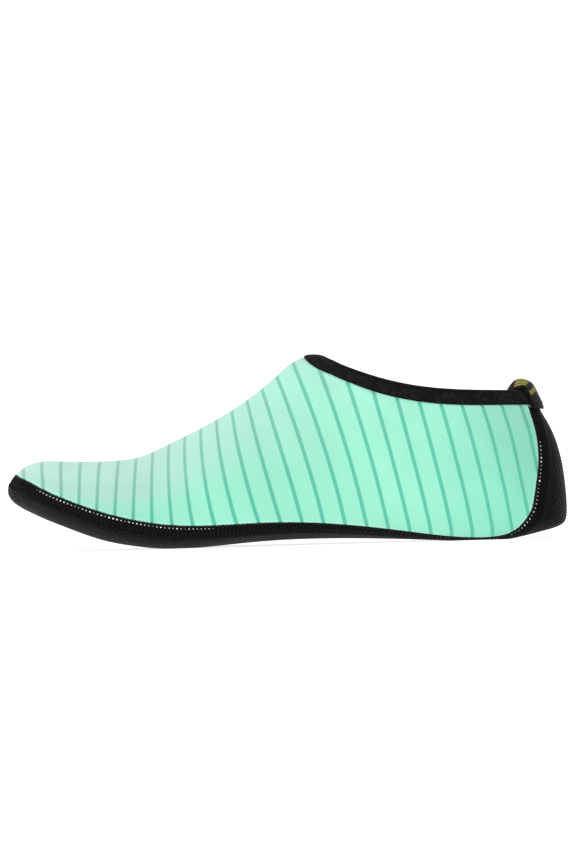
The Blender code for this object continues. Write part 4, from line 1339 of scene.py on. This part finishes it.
def add_insole():
    """Foam insole with a knit top and a soft rolled edge."""
    way = -np.cos(np.linspace(0.0, math.pi, INSOLE_RIBS))
    row = 0.5 * (INSOLE_ROWS[0] + INSOLE_ROWS[1]) + 0.5 * (INSOLE_ROWS[1] - INSOLE_ROWS[0]) * way
    width = INSOLE_SHARE * np.sqrt(1.0 - np.abs(way) ** INSOLE_ROUND)
    spread = np.linspace(-1.0, 1.0, 2 * INSOLE_SPANS + 1)
    turns = []
    for a, b in halves(*walk(*SEAM, BAND_WIDTH)):
        edge = np.interp(row, np.hypot(a, b), np.abs(np.arctan2(b, -a)) / math.pi)
        turns.append((1.0 - edge) * width)
    reach = np.where(spread[None, :] < 0.0, turns[0][:, None], turns[1][:, None]) * spread[None, :]
    places = (row[:, None] * np.cos(math.pi * reach), row[:, None] * np.sin(math.pi * reach))
    base, normal = surface(places)
    top = SOLE_WALL + 2.0 * GAP
    rolled = 1.0 - hump(np.abs(spread), 0.86, 1.0)[None, :] * np.ones((INSOLE_RIBS, 1))
    rolled = rolled * (1.0 - hump(np.abs(way), 0.985, 1.0))[:, None]
    outer = base - normal * top
    inner = base - normal * (top + INSOLE_THICKNESS * (0.35 + 0.65 * rolled))[..., None]
    piece = shell("insole_foam", outer, inner)
    piece.data.materials.append(insole_fabric())
    return hand_over(piece, "insole")


def tab_routes(across):
    """Distances outward and upward along the ribbon, a line for each station across it."""
    face, binding, depth, leg, tail, top, rise = np.array(TAB_ROUTE).T
    outside = 2.0 * GAP + BINDING_THICKNESS + 0.5 * TAB_THICKNESS
    inside = -UPPER_WALL - BINDING_THICKNESS - 4.0 * GAP - 0.5 * TAB_THICKNESS
    dome = 1.0 - TAB_DOME * (2.0 * across / TAB_WIDTH) ** 2
    out = inside + (outside - inside) * face + BINDING_THICKNESS * binding + TAB_DEPTH * depth
    flat = BINDING_LEG * leg + TAB_TAIL * tail + wall_top(0.0) * top
    knots = np.arange(len(TAB_ROUTE), dtype=float)
    at = np.linspace(0.0, knots[-1], TAB_POINTS)
    out_line = natural_spline(knots, out)(at)
    flat_line = natural_spline(knots, flat)(at)
    rise_line = natural_spline(knots, TAB_RISE * rise)(at)
    up_lines = flat_line[None, :] + dome[:, None] * rise_line[None, :]
    return np.broadcast_to(out_line, up_lines.shape), up_lines, inside


def add_pull_tab():
    """Woven ribbon in a domed loop over the collar's back, with thick selvedges and stitches."""
    _, (rim_a, rim_b) = collar_line(wall_top, PATH_POINTS)
    middle = PATH_POINTS // 2
    rim_a, rim_b = np.roll(rim_a, middle), np.roll(rim_b, middle)
    run = along(last_point(rim_a, rim_b)[None])[0]
    across = np.linspace(-0.5 * TAB_WIDTH, 0.5 * TAB_WIDTH, TAB_SPANS + 1)
    a = np.interp(across + run[middle], run, rim_a)
    b = np.interp(across + run[middle], run, rim_b)
    normal = outward(a, b)
    edge = last_point(a, b)
    by_a, by_b = slopes(a, b)
    rise = by_a * a[:, None] + by_b * b[:, None]
    rise = unit(rise - normal * np.sum(rise * normal, axis=1, keepdims=True))
    straight = normal[TAB_SPANS // 2]
    out, up, inside = tab_routes(across)
    tangent = unit(np.stack([np.gradient(out, axis=1), np.gradient(up, axis=1)], axis=-1))
    from_edge = 0.5 * TAB_WIDTH - np.abs(across)[:, None]
    thicker, fold = [share * np.exp(-(from_edge / width) ** 2) for share, width in (SELVEDGE, FOLD)]
    knot = np.linspace(0.0, len(TAB_ROUTE) - 1.0, TAB_POINTS)[None, :]
    thinned = (1.0 + thicker) * (TAIL_THIN + (1.0 - TAIL_THIN) * hump(knot, 0.0, TAIL_POINT))
    folded = 1.0 + thicker + fold * hump(knot, *FOLD_START) * (1.0 - hump(knot, *FOLD_END))
    faces = []
    for sign, thickness in ((1.0, thinned), (-1.0, folded)):
        half = sign * 0.5 * TAB_THICKNESS * thickness
        shift_out = out + half * tangent[..., 1]
        shift_up = up - half * tangent[..., 0]
        near = np.maximum(shift_out, inside)[..., None]
        far = np.minimum(shift_out - inside, 0.0)[..., None]
        points = edge[:, None, :] + normal[:, None, :] * near + straight * far
        faces.append(points + rise[:, None, :] * shift_up[..., None])
    length = along(faces[0])
    peak = int(round(TAB_PEAK * (TAB_POINTS - 1) / (len(TAB_ROUTE) - 1)))
    marks = {"ribbon_across": across[:, None] * np.ones((1, TAB_POINTS)),
             "ribbon_down": length[:, peak:peak + 1] - length}
    piece = shell("pull_tab_ribbon", faces[0], faces[1], marks=marks)
    piece.data.materials.append(tab_ribbon())
    hand_over(piece, "pull_tab")

    stitches = []
    index = np.arange(TAB_SPANS + 1)
    way = np.linspace(0.0, 1.0, TAB_STITCH_POINTS)
    for down_from_end in TAB_SEAMS:
        column = int(np.searchsorted(length[TAB_SPANS // 2], down_from_end))
        line = faces[0][:, column]
        outwards = unit(line - faces[1][:, column])
        for start in np.arange(1.0, TAB_SPANS - 2.0, TAB_STITCH[0]):
            where = start + TAB_STITCH[1] * way
            point, lift = [np.stack([np.interp(where, index, values[:, k]) for k in range(3)], axis=1)
                           for values in (line, outwards)]
            stitches.append(point + lift * TAB_THREAD * np.sin(math.pi * way)[:, None])
    sewn = threads("pull_tab_stitches", np.array(stitches), TAB_THREAD, 6, black_thread())
    hand_over(sewn)


# Studio


def add_studio():
    """Pale floor that sweeps up into a backdrop."""
    line = [(-STUDIO_REACH, 0.0)]
    for turn in 0.5 * math.pi * np.arange(BEND_STEPS + 1) / BEND_STEPS:
        before_wall = STUDIO_BEND * (1.0 - math.sin(turn))
        line.append((STUDIO_DEPTH - before_wall, STUDIO_BEND * (1.0 - math.cos(turn))))
    line.append((STUDIO_DEPTH, STUDIO_HEIGHT))
    points = [(x, y, z) for x in (-STUDIO_REACH, STUDIO_REACH) for y, z in line]
    count = len(line)
    faces = [(i, i + count, i + count + 1, i + 1) for i in range(count - 1)]
    data = bpy.data.meshes.new("studio_floor")
    data.from_pydata(points, [], faces)
    data.shade_smooth()
    floor = bpy.data.objects.new("studio_floor", data)
    bpy.context.scene.collection.objects.link(floor)
    paper = Finish("studio_paper", (0.50, 0.50, 0.50), 0.95, specular_ior_level=0.0,
                   emission_color=(1.0, 1.0, 1.0, 1.0), emission_strength=GLOW)
    grain = paper.noise(paper.place(), 3.0, 1.0)
    paper.join(paper.mix(grain, (0.495, 0.495, 0.495), (0.505, 0.505, 0.505)), "Base Color")
    data.materials.append(paper.material)


def add_light(name, place, aim, size, power):
    """Soft square lamp that faces a point."""
    lamp = bpy.data.lights.new(name, "AREA")
    lamp.shape = "RECTANGLE"
    lamp.size, lamp.size_y = size
    lamp.energy = power
    thing = bpy.data.objects.new(name, lamp)
    away = np.array(place) - np.array(aim)
    right = unit(np.cross((0.0, 0.0, 1.0), away))
    up = np.cross(unit(away), right)
    axes = np.array([right, up, unit(away)]).T
    thing.matrix_world = Matrix([[*row, spot] for row, spot in zip(axes, place)] + [[0.0, 0.0, 0.0, 1.0]])
    bpy.context.scene.collection.objects.link(thing)


def add_lights():
    """Even white surroundings with soft lamps from the toe side, the front and above."""
    world = bpy.data.worlds.new("studio_air")
    world.use_nodes = True
    world.node_tree.nodes["Background"].inputs["Color"].default_value = (1.0, 1.0, 1.0, 1.0)
    world.node_tree.nodes["Background"].inputs["Strength"].default_value = GLOW
    bpy.context.scene.world = world
    middle = ((AIM_X_SHARE - HEEL_REST_SHARE) * LENGTH, 0.0, 0.5 * HEEL_HEIGHT)
    for name, place, size, power in LAMPS:
        add_light(name, place, middle, size, power)


def add_camera():
    """Level camera across from the inner side, rolled as in the photograph."""
    view = bpy.data.cameras.new("photo_camera")
    view.sensor_fit = "VERTICAL"
    view.sensor_height = SENSOR * 1000.0
    seen_height = LENGTH / SHOE_PIXELS * FRAME_PIXELS[1]
    view.lens = SENSOR * 1000.0 * CAMERA_DISTANCE / seen_height
    camera = bpy.data.objects.new("photo_camera", view)
    aim = ((AIM_X_SHARE - HEEL_REST_SHARE) * LENGTH, 0.0, AIM_HEIGHT)
    level = Matrix.Rotation(0.5 * math.pi, 4, "X") @ Matrix.Rotation(ROLL, 4, "Z")
    camera.matrix_world = Matrix.Translation((aim[0], aim[1] - CAMERA_DISTANCE, aim[2])) @ level
    bpy.context.scene.collection.objects.link(camera)
    bpy.context.scene.camera = camera


bpy.context.scene.view_settings.view_transform = "Standard"
add_studio()
add_lights()
add_camera()
add_upper()
add_outsole()
add_seam_band()
add_tread()
add_collar_binding()
add_insole()
add_pull_tab()
